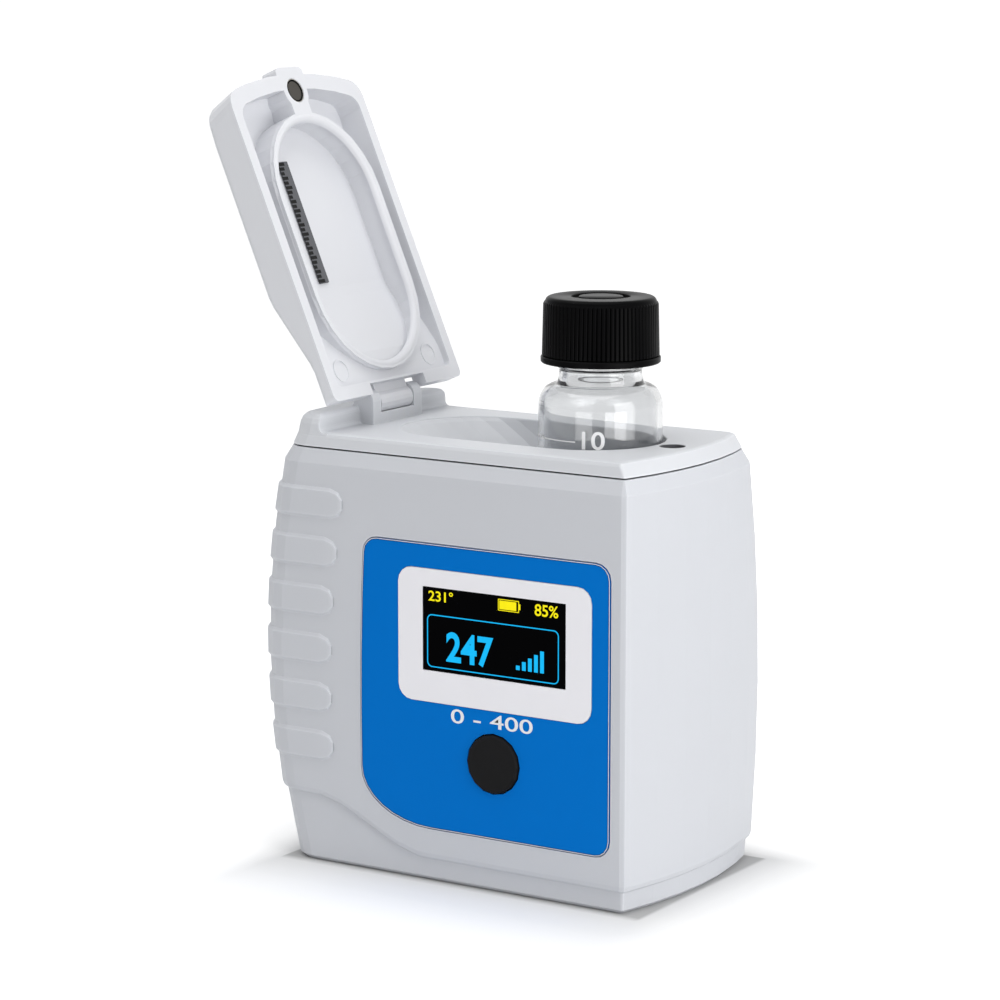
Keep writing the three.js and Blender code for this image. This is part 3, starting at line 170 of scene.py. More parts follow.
def moulded_surface_group():
    """Moulded plastic: slow drifts of shade, clouds in the gloss, and the mould's fine texture as relief."""
    tree, graph, given, leave = effect_group(
        "moulded_surface",
        [("Colour", "Color", None), ("Shade Drift", "Float", 0.02),
         ("Roughness", "Float", 0.4), ("Gloss Drift", "Float", 0.05),
         ("Grain Scale", "Float", 2500.0), ("Grain Height", "Float", 0.00001)],
        [("Colour", "Color"), ("Roughness", "Float"), ("Normal", "Vector")],
    )
    place = graph.add("ShaderNodeTexCoord").outputs["Object"]
    drift = graph.math("SUBTRACT", graph.noise(place, DRIFT_SCALE, 2.0), 0.5)
    gain = graph.math("MULTIPLY_ADD", drift, given["Shade Drift"], 1.0)
    grain = graph.noise(place, given["Grain Scale"], 2.0, 0.6)
    cloud = graph.math("SUBTRACT", graph.noise(place, CLOUD_SCALE, 4.0), 0.5)
    gloss = graph.math("MULTIPLY_ADD", cloud, given["Gloss Drift"], given["Roughness"])
    bump = graph.add("ShaderNodeBump", Height=grain, Distance=given["Grain Height"])
    graph.feed(leave, "Colour", graph.brighten(given["Colour"], gain))
    graph.feed(leave, "Roughness", gloss)
    graph.feed(leave, "Normal", bump.outputs[0])
    return tree


def edge_wear_and_highlight_group():
    """Edges rubbed by handling, and a painted highlight along them: a mask along the edges, the colour they
    lighten to and the gloss they take.
    """
    tree, graph, given, leave = effect_group(
        "edge_wear_and_highlight",
        [("Colour", "Color", None), ("Roughness", "Float", 0.4), ("Radius", "Float", 0.0004),
         ("Lighten", "Float", 0.06), ("Polish", "Float", 0.08)],
        [("Colour", "Color"), ("Roughness", "Float"), ("Mask", "Float")],
    )
    rounded = graph.add("ShaderNodeBevel", Radius=given["Radius"])
    facing = graph.add("ShaderNodeNewGeometry")
    agree = graph.tree.nodes.new("ShaderNodeVectorMath")
    agree.operation = "DOT_PRODUCT"
    graph.feed(agree, 0, rounded.outputs[0])
    graph.feed(agree, 1, facing.outputs["Normal"])
    mask = graph.spread(agree.outputs["Value"], *EDGE_AGREEMENT, 0.0, 1.0)
    gain = graph.math("MULTIPLY_ADD", mask, given["Lighten"], 1.0)
    graph.feed(leave, "Colour", graph.brighten(given["Colour"], gain))
    rubbed = graph.math("MULTIPLY", mask, given["Polish"])
    graph.feed(leave, "Roughness", graph.math("SUBTRACT", given["Roughness"], rubbed))
    graph.feed(leave, "Mask", mask)
    return tree


def handling_group():
    """Light handling marks: a mask of sparse fine scuffs, and the roughness that they leave."""
    tree, graph, given, leave = effect_group(
        "handling_marks",
        [("Roughness", "Float", 0.4), ("Amount", "Float", 0.1), ("Stretch", "Vector", None)],
        [("Roughness", "Float"), ("Mask", "Float")],
    )
    place = graph.add("ShaderNodeTexCoord").outputs["Object"]
    mapping = graph.add("ShaderNodeMapping", Vector=place, Scale=given["Stretch"])
    streaks = graph.noise(mapping.outputs[0], 1.0, 3.0, 0.6)
    mask = graph.spread(streaks, *SCUFF_NOISE, 0.0, 1.0)
    scuffed = graph.math("MULTIPLY_ADD", mask, given["Amount"], given["Roughness"])
    graph.feed(leave, "Roughness", scuffed)
    graph.feed(leave, "Mask", mask)
    return tree


def painted_shade_group():
    """Painted shade that darkens the colour in seams, grooves and inner corners, where the object's own surfaces
    close in.
    """
    tree, graph, given, leave = effect_group(
        "crevice_shade",
        [("Colour", "Color", None), ("Reach", "Float", 0.003), ("Open Above", "Float", 0.92),
         ("Darken", "Float", 0.2)],
        [("Colour", "Color"), ("Mask", "Float")],
    )
    nearby = graph.add("ShaderNodeAmbientOcclusion", Distance=given["Reach"])
    nearby.samples = 8
    nearby.only_local = True
    mask = graph.spread(nearby.outputs["AO"], given["Open Above"], FULL_SHADE, 0.0, 1.0)
    gain = graph.math("SUBTRACT", 1.0, graph.math("MULTIPLY", mask, given["Darken"]))
    graph.feed(leave, "Colour", graph.brighten(given["Colour"], gain))
    graph.feed(leave, "Mask", mask)
    return tree


def circuit_group():
    """Board surface: fine parallel tracks as a mask, broken up by blocks."""
    tree, graph, given, leave = effect_group(
        "circuit_tracks",
        [("Ground", "Color", None), ("Track", "Color", None), ("Pitch Scale", "Float", 700.0)],
        [("Colour", "Color"), ("Height", "Float")],
    )
    place = graph.add("ShaderNodeTexCoord").outputs["Object"]
    blocks = graph.add("ShaderNodeTexVoronoi", Vector=place, Scale=BLOCK_SCALE)
    blocks.distance = "CHEBYCHEV"
    lines = graph.add("ShaderNodeTexWave", Vector=place, Scale=given["Pitch Scale"])
    lines.bands_direction = "Z"
    on_track = graph.spread(lines.outputs["Fac"], *TRACK_EDGE, 0.0, 1.0)
    in_block = graph.spread(blocks.outputs["Distance"], *BLOCK_EDGE, 0.0, 1.0)
    mask = graph.math("MULTIPLY", on_track, in_block)
    graph.feed(leave, "Colour", graph.mix(mask, given["Ground"], given["Track"]))
    graph.feed(leave, "Height", mask)
    return tree


moulded_surface = moulded_surface_group()
edge_wear_and_highlight = edge_wear_and_highlight_group()
handling_marks = handling_group()
crevice_shade = painted_shade_group()
circuit_tracks = circuit_group()


# Finishes, with the heights of grain, tracks and ripples in metres

MOULD_GRAIN = 2500.0
METAL_GRAIN = 900.0
METAL_GRAIN_HEIGHT = 0.000004
WEAR_AND_HIGHLIGHT_RADIUS = 0.0007
SCUFF_STRETCH = (160, 160, 900)
RIPPLE_STRETCH = (260, 260, 60)
RIPPLE = 0.000002
TRACK_HEIGHT = 0.00003
PIXEL_SCALE = 900.0
WHITE = (1, 1, 1, 1)
BLACK = (0, 0, 0, 1)


def linear(red, green, blue):
    """A colour as it looks on screen, given in 0 to 255, as the linear values that the shader takes."""
    def channel(value):
        share = value / 255
        return share / 12.92 if share <= 0.04045 else ((share + 0.055) / 1.055) ** 2.4
    return (channel(red), channel(green), channel(blue), 1.0)


def new_material(name):
    material = bpy.data.materials.new(name)
    material.use_nodes = True
    graph = Graph(material.node_tree)
    shader = material.node_tree.nodes["Principled BSDF"]
    return material, graph, shader


def place_group(graph, tree, **inputs):
    node = graph.tree.nodes.new("ShaderNodeGroup")
    node.node_tree = tree
    for name, value in inputs.items():
        graph.feed(node, name.replace("_", " "), value)
    return node.outputs


def moulded_plastic(name, colour, roughness, drift=0.03, gloss_drift=0.06, grain=0.000012,
                    specular=0.5, scuffs=0.05, wear_and_highlight=0.0, painted_shade=0.0, painted_shade_reach=0.003, open_above=0.92):
    """Moulded plastic or print. Its edges lighten by wear and a painted highlight, and its hollows darken by a
    painted shade.
    """
    material, graph, shader = new_material(name)
    marks = place_group(graph, handling_marks, Roughness=roughness, Amount=scuffs, Stretch=SCUFF_STRETCH)
    surface = place_group(graph, moulded_surface, Colour=linear(*colour), Shade_Drift=drift,
                          Roughness=marks["Roughness"], Gloss_Drift=gloss_drift,
                          Grain_Scale=MOULD_GRAIN, Grain_Height=grain)
    finish = surface
    if wear_and_highlight:
        finish = place_group(graph, edge_wear_and_highlight, Colour=surface["Colour"], Roughness=surface["Roughness"],
                             Radius=WEAR_AND_HIGHLIGHT_RADIUS, Lighten=wear_and_highlight)
    shade = finish["Colour"]
    if painted_shade:
        shaded = place_group(graph, crevice_shade, Colour=shade, Reach=painted_shade_reach,
                             Open_Above=open_above, Darken=painted_shade)
        shade = shaded["Colour"]
    graph.feed(shader, "Base Color", shade)
    graph.feed(shader, "Roughness", finish["Roughness"])
    graph.feed(shader, "Normal", surface["Normal"])
    shader.inputs["Specular IOR Level"].default_value = specular
    return material


def plated_metal(name, colour, roughness, stretch):
    material, graph, shader = new_material(name)
    marks = place_group(graph, handling_marks, Roughness=roughness, Amount=0.25, Stretch=stretch)
    surface = place_group(graph, moulded_surface, Colour=linear(*colour), Shade_Drift=0.12,
                          Roughness=marks["Roughness"], Gloss_Drift=0.1,
                          Grain_Scale=METAL_GRAIN, Grain_Height=METAL_GRAIN_HEIGHT)
    graph.feed(shader, "Base Color", surface["Colour"])
    graph.feed(shader, "Roughness", surface["Roughness"])
    graph.feed(shader, "Normal", surface["Normal"])
    shader.inputs["Metallic"].default_value = 1.0
    return material


def circuit_board(name):
    material, graph, shader = new_material(name)
    tracks = place_group(graph, circuit_tracks, Ground=linear(24, 78, 48), Track=linear(38, 112, 66))
    bump = graph.add("ShaderNodeBump", Height=tracks["Height"], Distance=TRACK_HEIGHT)
    graph.feed(shader, "Base Color", tracks["Colour"])
    graph.feed(shader, "Normal", bump.outputs[0])
    shader.inputs["Roughness"].default_value = 0.42
    return material


def clear_material(name, colour, roughness, ior):
    """Clear glass or plastic, with the faint waviness that drawn tube and moulded lenses have."""
    material, graph, shader = new_material(name)
    place = graph.add("ShaderNodeTexCoord").outputs["Object"]
    mapping = graph.add("ShaderNodeMapping", Vector=place, Scale=RIPPLE_STRETCH)
    wave = graph.noise(mapping.outputs[0], 1.0, 1.0)
    bump = graph.add("ShaderNodeBump", Height=wave, Distance=RIPPLE)
    graph.feed(shader, "Normal", bump.outputs[0])
    shader.inputs["Base Color"].default_value = colour
    shader.inputs["Roughness"].default_value = roughness
    shader.inputs["IOR"].default_value = ior
    shader.inputs["Transmission Weight"].default_value = 1.0
    return material


def lit_pixels(name, colour, strength):
    """Display pixels: a colour that glows, a little uneven from dot to dot."""
    material, graph, shader = new_material(name)
    place = graph.add("ShaderNodeTexCoord").outputs["Object"]
    grain = graph.noise(place, PIXEL_SCALE, 1.0)
    gain = graph.spread(grain, 0.3, 0.7, 0.94, 1.0)
    shader.inputs["Base Color"].default_value = BLACK
    graph.feed(shader, "Emission Color", graph.brighten(linear(*colour), gain))
    shader.inputs["Emission Strength"].default_value = strength
    shader.inputs["Roughness"].default_value = 0.3
    shader.inputs["Specular IOR Level"].default_value = 0.1
    return material


# The case gets a painted highlight on its ridge edges and a painted shade in its grooves. The deck's recess and
# the lid's hollows get painted shade too.
case_plastic = moulded_plastic("case_plastic", (209, 211, 216), 0.46, specular=0.3, wear_and_highlight=0.2, painted_shade=0.5)
deck_plastic = moulded_plastic("deck_plastic", (217, 219, 223), 0.42, specular=0.3, wear_and_highlight=0.14, painted_shade=0.25,
                               painted_shade_reach=0.01, open_above=0.75)
lid_plastic = moulded_plastic("lid_plastic", (225, 226, 230), 0.38, grain=0.000004, specular=0.3, wear_and_highlight=0.04,
                              painted_shade=0.05)
cap_black = moulded_plastic("cap_black", (6, 6, 7), 0.3, drift=0.2, grain=0.000003,
                            specular=0.03, scuffs=0.08)
well_plastic = moulded_plastic("well_plastic", (20, 20, 22), 0.5, drift=0.2, specular=0.3)
button_black = moulded_plastic("button_black", (27, 27, 28), 0.6, drift=0.08, grain=0.00001, specular=0.06)
seal_rubber = moulded_plastic("seal_rubber", (40, 41, 44), 0.7, drift=0.2, specular=0.2)
liner_white = moulded_plastic("liner_white", (232, 230, 224), 0.6)
blue_film = moulded_plastic("blue_film", (0, 118, 210), 0.36, drift=0.02, gloss_drift=0.04, grain=0.000002,
                            specular=0.03, scuffs=0.02)
navy_ink = moulded_plastic("navy_ink", (0, 52, 116), 0.4, drift=0.02, grain=0.0, specular=0.2, scuffs=0.0)
white_film = moulded_plastic("white_film", (249, 248, 252), 0.36, drift=0.01, gloss_drift=0.04,
                             grain=0.000002, specular=0.3, scuffs=0.02)
white_ink = moulded_plastic("white_ink", (248, 248, 249), 0.5, drift=0.01, grain=0.0, specular=0.2)
screen_black = moulded_plastic("screen_black", (2, 2, 3), 0.2, drift=0.1, gloss_drift=0.02, grain=0.0,
                               specular=0.01, scuffs=0.02)
strip_grey = moulded_plastic("strip_grey", (92, 93, 97), 0.5, drift=0.2, specular=0.3)
tick_black = moulded_plastic("tick_black", (6, 6, 7), 0.5, drift=0.1, specular=0.2)
battery_sleeve = moulded_plastic("battery_sleeve", (70, 76, 82), 0.3, drift=0.08, grain=0.000003)
steel = plated_metal("steel", (196, 198, 202), 0.28, (400, 400, 400))
magnet_plate = plated_metal("magnet_plate", (82, 79, 75), 0.36, (900, 300, 300))
# A near-black painted shade for grooves and recesses, and a light metal painted highlight for the magnets' edges
painted_gap_shade = moulded_plastic("painted_gap_shade", (4, 4, 4), 0.6, drift=0.1, specular=0.05)
painted_rim_highlight = plated_metal("painted_rim_highlight", (214, 210, 204), 0.2, (400, 400, 400))
board_green = circuit_board("board_green")
clear_glass = clear_material("clear_glass", linear(229, 230, 231), 0.0, 1.5)
lamp_clear = clear_material("lamp_clear", (0.95, 0.97, 1, 1), 0.05, 1.49)
pixel_yellow = lit_pixels("pixel_yellow", (255, 240, 0), 1.0)
pixel_cyan = lit_pixels("pixel_cyan", (0, 190, 255), 1.0)

# The finish of each of the record's material slots
FINISHES = {
    "case_plastic": case_plastic, "deck_plastic": deck_plastic, "lid_plastic": lid_plastic,
    "black_plastic": well_plastic, "button_black": button_black, "seal_rubber": seal_rubber,
    "liner_white": liner_white, "blue_film": blue_film, "white_film": white_film,
    "screen_black": screen_black, "strip_grey": strip_grey, "battery_sleeve": battery_sleeve,
    "steel": steel, "magnet_plate": magnet_plate, "board_green": board_green,
    "clear_glass": clear_glass, "lamp_clear": lamp_clear,
}

# The small rounds that the mould leaves on the three big shells, in mm, and the angles in degrees below
# which faces count as one and above which an edge is rounded
MOULD_ROUNDS = {"main_housing": 0.25, "top_deck": 0.3, "lid": 0.35}
ROUND_STEPS = 3
FLAT_BELOW = 0.6
ROUND_ABOVE = 24


def dress(obj, material):
    obj.data.materials.clear()
    obj.data.materials.append(material)


def smooth_by_angle(obj, degrees=32):
    obj.data.shade_smooth()
    obj.data.set_sharp_from_angle(angle=math.radians(degrees))


def soften_edges(obj, width):
    """Flat faces joined up, then every edge given the small round that a mould leaves."""
    flat = obj.modifiers.new("flat_faces", "DECIMATE")
    flat.decimate_type = "DISSOLVE"
    flat.angle_limit = math.radians(FLAT_BELOW)
    round_edges = obj.modifiers.new("mould_rounds", "BEVEL")
    round_edges.width = width * MM
    round_edges.segments = ROUND_STEPS
    round_edges.limit_method = "ANGLE"
    round_edges.angle_limit = math.radians(ROUND_ABOVE)
    round_edges.harden_normals = True
    round_edges.use_clamp_overlap = True
    weighted = obj.modifiers.new("face_normals", "WEIGHTED_NORMAL")
    weighted.keep_sharp = True


def dress_frame():
    """Every CAD node takes the finish of its slot, and the moulded shells get softened edges."""
    for part in frame["record"]["subparts"]:
        dress(nodes[part["node"]], FINISHES[part["material_slot"]])
        smooth_by_angle(nodes[part["node"]])
    for name, width in MOULD_ROUNDS.items():
        soften_edges(nodes[name], width)


def finish_piece(obj, material, slot, body, smooth=None):
    """A new piece gets its material and the body that it moves with. Its record slot is not used."""
    dress(obj, material)
    if smooth:
        smooth_by_angle(obj, smooth)
    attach(obj, body)
    return obj


def join_rings(shape, pairs):
    """The faces between each pair of rings, which have as many points each."""
    for ring, after in pairs:
        for i in range(len(ring)):
            k = (i + 1) % len(ring)
            shape.faces.new((ring[i], ring[k], after[k], after[i]))


def new_piece(name, shape):
    """The object of a finished bmesh in metres, with its faces turned outwards."""
    bmesh.ops.recalc_face_normals(shape, faces=shape.faces)
    mesh = bpy.data.meshes.new(name)
    shape.to_mesh(mesh)
    shape.free()
    return add_object(name, mesh)


# Outlines, as lists of (across, up) points in mm


def arc(centre, across, up, start, end, steps):
    """Points along a round or oval arc, from one angle in degrees to another."""
    turns = [math.radians(start + (end - start) * i / steps) for i in range(steps + 1)]
    return [(centre[0] + across * math.cos(turn), centre[1] + up * math.sin(turn)) for turn in turns]


def circle(centre, radius, steps):
    return arc(centre, radius, radius, 0, 360, steps)[:-1]


def bend(first, corner, last, steps):
    """Points along a smooth bend that leaves first towards corner and reaches last from it."""
    points = []
    for i in range(steps + 1):
        share = i / steps
        weights = ((1 - share) ** 2, 2 * share * (1 - share), share ** 2)
        points.append(tuple(sum(w * p[k] for w, p in zip(weights, (first, corner, last))) for k in (0, 1)))
    return points


def rounded_box(left, right, low, high, radius, steps=6):
    return (arc((right - radius, low + radius), radius, radius, -90, 0, steps)
            + arc((right - radius, high - radius), radius, radius, 0, 90, steps)
            + arc((left + radius, high - radius), radius, radius, 90, 180, steps)
            + arc((left + radius, low + radius), radius, radius, 180, 270, steps))


def turned_body(name, section, foot, steps, relief=None):
    """A body of revolution on a vertical axis, from a section of (radius, height) that starts and ends on
    the axis. relief gives how far each point stands out at each turn."""
    shape = bmesh.new()
    rings = []
    for i, (radius, height) in enumerate(section):
        ring = []
        for j in range(steps):
            turn = 2 * math.pi * j / steps
            out = radius + (relief(i, turn) if relief else 0)
            spoke = Vector((out * math.cos(turn), out * math.sin(turn), height))
            ring.append(shape.verts.new(foot + spoke * MM))
        rings.append(ring)
    join_rings(shape, zip(rings, rings[1:]))
    bmesh.ops.remove_doubles(shape, verts=shape.verts, dist=1e-7)
    return new_piece(name, shape)


# The vial, its cap and the cells, finer than their solids. Sections are in mm

vial_low, vial_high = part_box("vial_glass")
cap_low, cap_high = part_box("vial_cap")
VIAL_RADIUS = (vial_high[0] - vial_low[0]) / 2 / MM
VIAL_HEIGHT = (vial_high[2] - vial_low[2]) / MM
VIAL_AXIS = Vector(((vial_low[0] + vial_high[0]) / 2, (vial_low[1] + vial_high[1]) / 2, 0))
VIAL_WALL = 1.2
VIAL_FLOOR = 1.6
HEEL_ROUND = 1.7
BODY_TOP = 33.7
SHOULDER_REACH = 3.5
SHOULDER_RISE = 4.35
NECK_RADIUS = 8.75
NECK_FOOT = 38.1
NECK_WAIST = 8.35
WAIST_LEVEL = 40.2
NECK_BORE = 6.9
BEAD_LOW, BEAD_HIGH = 41.3, 42.3
LIP_ROUND = 0.8
VIAL_STEPS = 128
CAP_RADIUS = (cap_high[0] - cap_low[0]) / 2 / MM
CAP_HEIGHT = (cap_high[2] - cap_low[2]) / MM
CAP_BORE = 9.65
CAP_ROOF = 2.3
CAP_FLANGE = 1.35
CAP_EDGE = 1.1
CAP_RIBS = 80
RIB_CREST = 11.85
RIB_TAPER = 0.25
RIB_DEPTH = 0.38
RING_OUTER, RING_INNER, RING_DEPTH = 5.95, 4.45, 0.55
RIB_STEPS = 8


def fine_vial():
    """The glass: a rounded heel and shoulder, a waisted neck with a bead under the cap, and a thick foot."""
    outside = [(0, 0.5), (VIAL_RADIUS - 4, 0.3)]
    outside += arc((VIAL_RADIUS - HEEL_ROUND, HEEL_ROUND), HEEL_ROUND, HEEL_ROUND, -100, 0, 8)
    outside += arc((VIAL_RADIUS - SHOULDER_REACH, BODY_TOP), SHOULDER_REACH, SHOULDER_RISE, 0, 84, 14)
    outside += bend((NECK_RADIUS + 0.25, NECK_FOOT), (NECK_RADIUS, NECK_FOOT + 0.1),
                    (NECK_RADIUS - 0.1, NECK_FOOT + 0.5), 4)
    outside += bend((NECK_RADIUS - 0.15, NECK_FOOT + 0.9), (NECK_WAIST, WAIST_LEVEL),
                    (NECK_WAIST, WAIST_LEVEL + 0.5), 4)
    outside += bend((NECK_WAIST, WAIST_LEVEL + 0.6), (NECK_WAIST + 0.1, BEAD_LOW),
                    (NECK_RADIUS, BEAD_LOW + 0.2), 4)
    outside += bend((NECK_RADIUS, BEAD_HIGH - 0.2), (NECK_RADIUS, BEAD_HIGH),
                    (NECK_WAIST, BEAD_HIGH + 0.3), 4)
    outside += bend((NECK_WAIST, VIAL_HEIGHT - LIP_ROUND), (NECK_WAIST, VIAL_HEIGHT),
                    (NECK_WAIST - LIP_ROUND, VIAL_HEIGHT), 4)
    inner = VIAL_RADIUS - VIAL_WALL
    inside = bend((NECK_BORE + 0.5, VIAL_HEIGHT), (NECK_BORE, VIAL_HEIGHT),
                  (NECK_BORE, VIAL_HEIGHT - 0.5), 3)
    inside += bend((NECK_BORE, WAIST_LEVEL), (NECK_BORE, NECK_FOOT - 0.2), (inner - 3, NECK_FOOT - 0.65), 8)
    shoulder = arc((inner - SHOULDER_REACH, BODY_TOP), SHOULDER_REACH, SHOULDER_RISE - 0.6, 0, 80, 14)
    heel = arc((inner - 2, VIAL_FLOOR + 2), 2, 2, -90, 0, 6)
    inside += shoulder[::-1] + heel[::-1] + [(0, VIAL_FLOOR + 0.25)]
    foot = VIAL_AXIS + Vector((0, 0, vial_low[2]))
    vial = turned_body("fine_vial", outside + inside, foot, VIAL_STEPS)
    finish_piece(vial, clear_glass, "clear_glass", "vial", 60)
    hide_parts("vial_glass")


def fine_cap():
    """The screw cap: eighty fine ribs between a flange and a rounded crown with a sunk ring in its top."""
    crown = RIB_CREST - RIB_TAPER
    rib_low, rib_high = CAP_FLANGE + 0.25, CAP_HEIGHT - CAP_EDGE - 0.4
    section = [(0, CAP_HEIGHT - CAP_ROOF), (CAP_BORE, CAP_HEIGHT - CAP_ROOF)]
    section += [(CAP_BORE, 0.3), (CAP_BORE + 0.3, 0)]
    section += [(CAP_RADIUS - 0.25, 0), (CAP_RADIUS, 0.25), (CAP_RADIUS, CAP_FLANGE - 0.2)]
    section += [(CAP_RADIUS - 0.2, CAP_FLANGE), (RIB_CREST - RIB_DEPTH, CAP_FLANGE + 0.05)]
    ribbed_from = len(section)
    section += [(RIB_CREST, rib_low), (crown, rib_high)]
    ribbed_to = len(section)
    section += [(crown - RIB_DEPTH * 0.4, rib_high + 0.35)]
    section += arc((crown - RIB_DEPTH - CAP_EDGE, CAP_HEIGHT - CAP_EDGE), CAP_EDGE, CAP_EDGE, 12, 90, 7)
    section += [(RING_OUTER + 0.15, CAP_HEIGHT), (RING_OUTER, CAP_HEIGHT - 0.1)]
    section += [(RING_OUTER - 0.1, CAP_HEIGHT - RING_DEPTH), (RING_INNER + 0.1, CAP_HEIGHT - RING_DEPTH)]
    section += [(RING_INNER, CAP_HEIGHT - 0.1), (RING_INNER - 0.15, CAP_HEIGHT), (0, CAP_HEIGHT - 0.05)]

    def groove(i, turn):
        if not ribbed_from <= i < ribbed_to:
            return 0
        share = (turn * CAP_RIBS / (2 * math.pi)) % 1
        return -RIB_DEPTH * (1 - min(1, 1.9 * math.sin(math.pi * share)))

    foot = VIAL_AXIS + Vector((0, 0, cap_low[2]))
    cap = turned_body("fine_cap", section, foot, CAP_RIBS * RIB_STEPS, groove)
    finish_piece(cap, cap_black, "black_plastic", "cap", 38)
    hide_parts("vial_cap")


NUB_RADIUS, NUB_HEIGHT = 1.9, 0.9


def fine_cells():
    """The three cells: a round sleeve drawn in at both ends, with the contact nub on top."""
    for i in range(1, 4):
        low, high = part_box(f"battery_{i}")
        radius, tall = (high[0] - low[0]) / 2 / MM, (high[2] - low[2]) / MM
        shoulder = tall - NUB_HEIGHT
        foot_round = [(radius - 0.4, 0), (radius - 0.1, 0.12), (radius, 0.4)]
        section = [(0, 0)] + foot_round + [(out, shoulder - up) for out, up in reversed(foot_round)]
        section += [(NUB_RADIUS + 0.4, shoulder), (NUB_RADIUS, shoulder + 0.1), (NUB_RADIUS, tall - 0.2)]
        section += [(NUB_RADIUS - 0.2, tall), (0, tall)]
        foot = Vector(((low[0] + high[0]) / 2, (low[1] + high[1]) / 2, low[2]))
        cell = turned_body(f"fine_cell_{i}", section, foot, 48)
        finish_piece(cell, battery_sleeve, "battery_sleeve", "case", 40)
        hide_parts(f"battery_{i}")


# Printing and small trim, in mm

PRINT_LIFT = 0.02
PRINT_THICK = 0.03


def flat_piece(name, outlines, place, material, slot, body, thick=PRINT_THICK):
    """Thin plates from flat outlines. place turns (across, up, out), in mm, into a point of the object."""
    shape = bmesh.new()
    for outline in outlines:
        back = [shape.verts.new(place(across, up, 0)) for across, up in outline]
        front = [shape.verts.new(place(across, up, thick)) for across, up in outline]
        shape.faces.new(front)
        shape.faces.new(back[::-1])
        join_rings(shape, [(back, front)])
    return finish_piece(new_piece(name, shape), material, slot, body)


def band_piece(name, outer, inner, place, material, slot, body, thick=PRINT_THICK):
    """A thin closed band between two outlines with as many points each."""
    shape = bmesh.new()
    rings = [[shape.verts.new(place(across, up, out)) for across, up in outline]
             for outline, out in ((outer, 0), (outer, thick), (inner, thick), (inner, 0))]
    join_rings(shape, zip(rings, rings[1:] + rings[:1]))
    return finish_piece(new_piece(name, shape), material, slot, body)


def lettering(name, words, box, place, material, slot, body, weight=0.0):
    """Plain printed characters, fitted to a box of (left, right, low, high) in mm."""
    curve = bpy.data.curves.new(name, "FONT")
    curve.body = words
    curve.offset = weight
    curve.extrude = 0.5
    holder = add_object(name, curve)
    seen = holder.evaluated_get(bpy.context.evaluated_depsgraph_get())
    mesh = bpy.data.meshes.new_from_object(seen)
    bpy.data.objects.remove(holder)
    across = [vertex.co.x for vertex in mesh.vertices]
    up = [vertex.co.y for vertex in mesh.vertices]
    left, right, low, high = box
    for vertex in mesh.vertices:
        x = left + (right - left) * (vertex.co.x - min(across)) / (max(across) - min(across))
        z = low + (high - low) * (vertex.co.y - min(up)) / (max(up) - min(up))
        vertex.co = place(x, z, PRINT_THICK * (vertex.co.z + 0.5))
    return finish_piece(add_object(name, mesh), material, slot, body)


def on_face(face_y):
    """Places on an upright face that looks forward: across is X, up is Z."""
    def place(across, up, out):
        return Vector((across * MM, face_y - (PRINT_LIFT + out) * MM, up * MM))
    return place


def on_glass(across, up, out):
    """Places round the vial: across is the way round from straight ahead, in mm, and up is Z."""
    turn = across / VIAL_RADIUS
    reach = (VIAL_RADIUS + PRINT_LIFT + out) * MM
    return VIAL_AXIS + Vector((math.sin(turn) * reach, -math.cos(turn) * reach, up * MM))


def front_rim(node):
    """The outer edge of a node's forward face, as (across, up) in mm, and where that face is, in metres."""
    shape = bmesh.new()
    shape.from_mesh(node.data)
    bmesh.ops.remove_doubles(shape, verts=shape.verts, dist=1e-6)
    front_y = min(vertex.co.y for vertex in shape.verts)
    flat = [face for face in shape.faces
            if all(abs(vertex.co.y - front_y) < 0.01 * MM for vertex in face.verts)]
    border = [edge for face in flat for edge in face.edges
              if sum(other in flat for other in edge.link_faces) == 1]
    loops = []
    while border:
        edge = border.pop()
        first, here = edge.verts
        loop = [first]
        while here != first:
            loop.append(here)
            edge = next(other for other in here.link_edges if other in border)
            border.remove(edge)
            here = edge.other_vert(here)
        loops.append([(vertex.co.x / MM, vertex.co.z / MM) for vertex in loop])
    shape.free()
    return max(loops, key=outline_length), front_y


def outline_length(outline):
    return sum(math.dist(a, b) for a, b in zip(outline, outline[1:] + outline[:1]))


def grown(outline, amount):
    """An outline with every point moved outwards by amount, or inwards where it is negative."""
    count = len(outline)
    area = sum(a[0] * b[1] - b[0] * a[1] for a, b in zip(outline, outline[1:] + outline[:1]))
    side = 1 if area > 0 else -1
    points = []
    for i, here in enumerate(outline):
        before, after = Vector(outline[i - 1]), Vector(outline[(i + 1) % count])
        into, away = (Vector(here) - before).normalized(), (after - Vector(here)).normalized()
        normal = Vector((into.y + away.y, -into.x - away.x)).normalized() * side
        lean = max(0.4, normal.dot(Vector((away.y, -away.x)) * side))
        points.append(tuple(Vector(here) + normal * amount / lean))
    return points


# The edges of the two trim lines, outwards from the overlay's own edge
TRIM_EDGES = (0.02, -0.1, -0.24)


def overlay_trim():
    """The fine pale line that runs round the blue overlay, and the darker one just inside it."""
    rim, front_y = front_rim(nodes["front_overlay"])
    place = on_face(front_y)
    outer, middle, inner = [grown(rim, edge) for edge in TRIM_EDGES]
    band_piece("overlay_pale_line", outer, middle, place, white_ink, "white_film", "case")
    band_piece("overlay_dark_line", middle, inner, place, navy_ink, "blue_film", "case")


RANGE_BOX = (-2.2, 17.2, 34.0, 36.9)


def range_print():
    """The measuring range, printed in white below the display: plain numbers."""
    front_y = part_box("front_overlay")[0][1]
    lettering("range_print", "0 - 400", RANGE_BOX, on_face(front_y), white_ink, "white_film", "case", 0.006)


GLASS_LINE = (-11.2, 1.7, 91.15, 91.4)
GLASS_NUMBER = (3.1, 7.7, 89.85, 93.5)
LINE_STEPS = 24


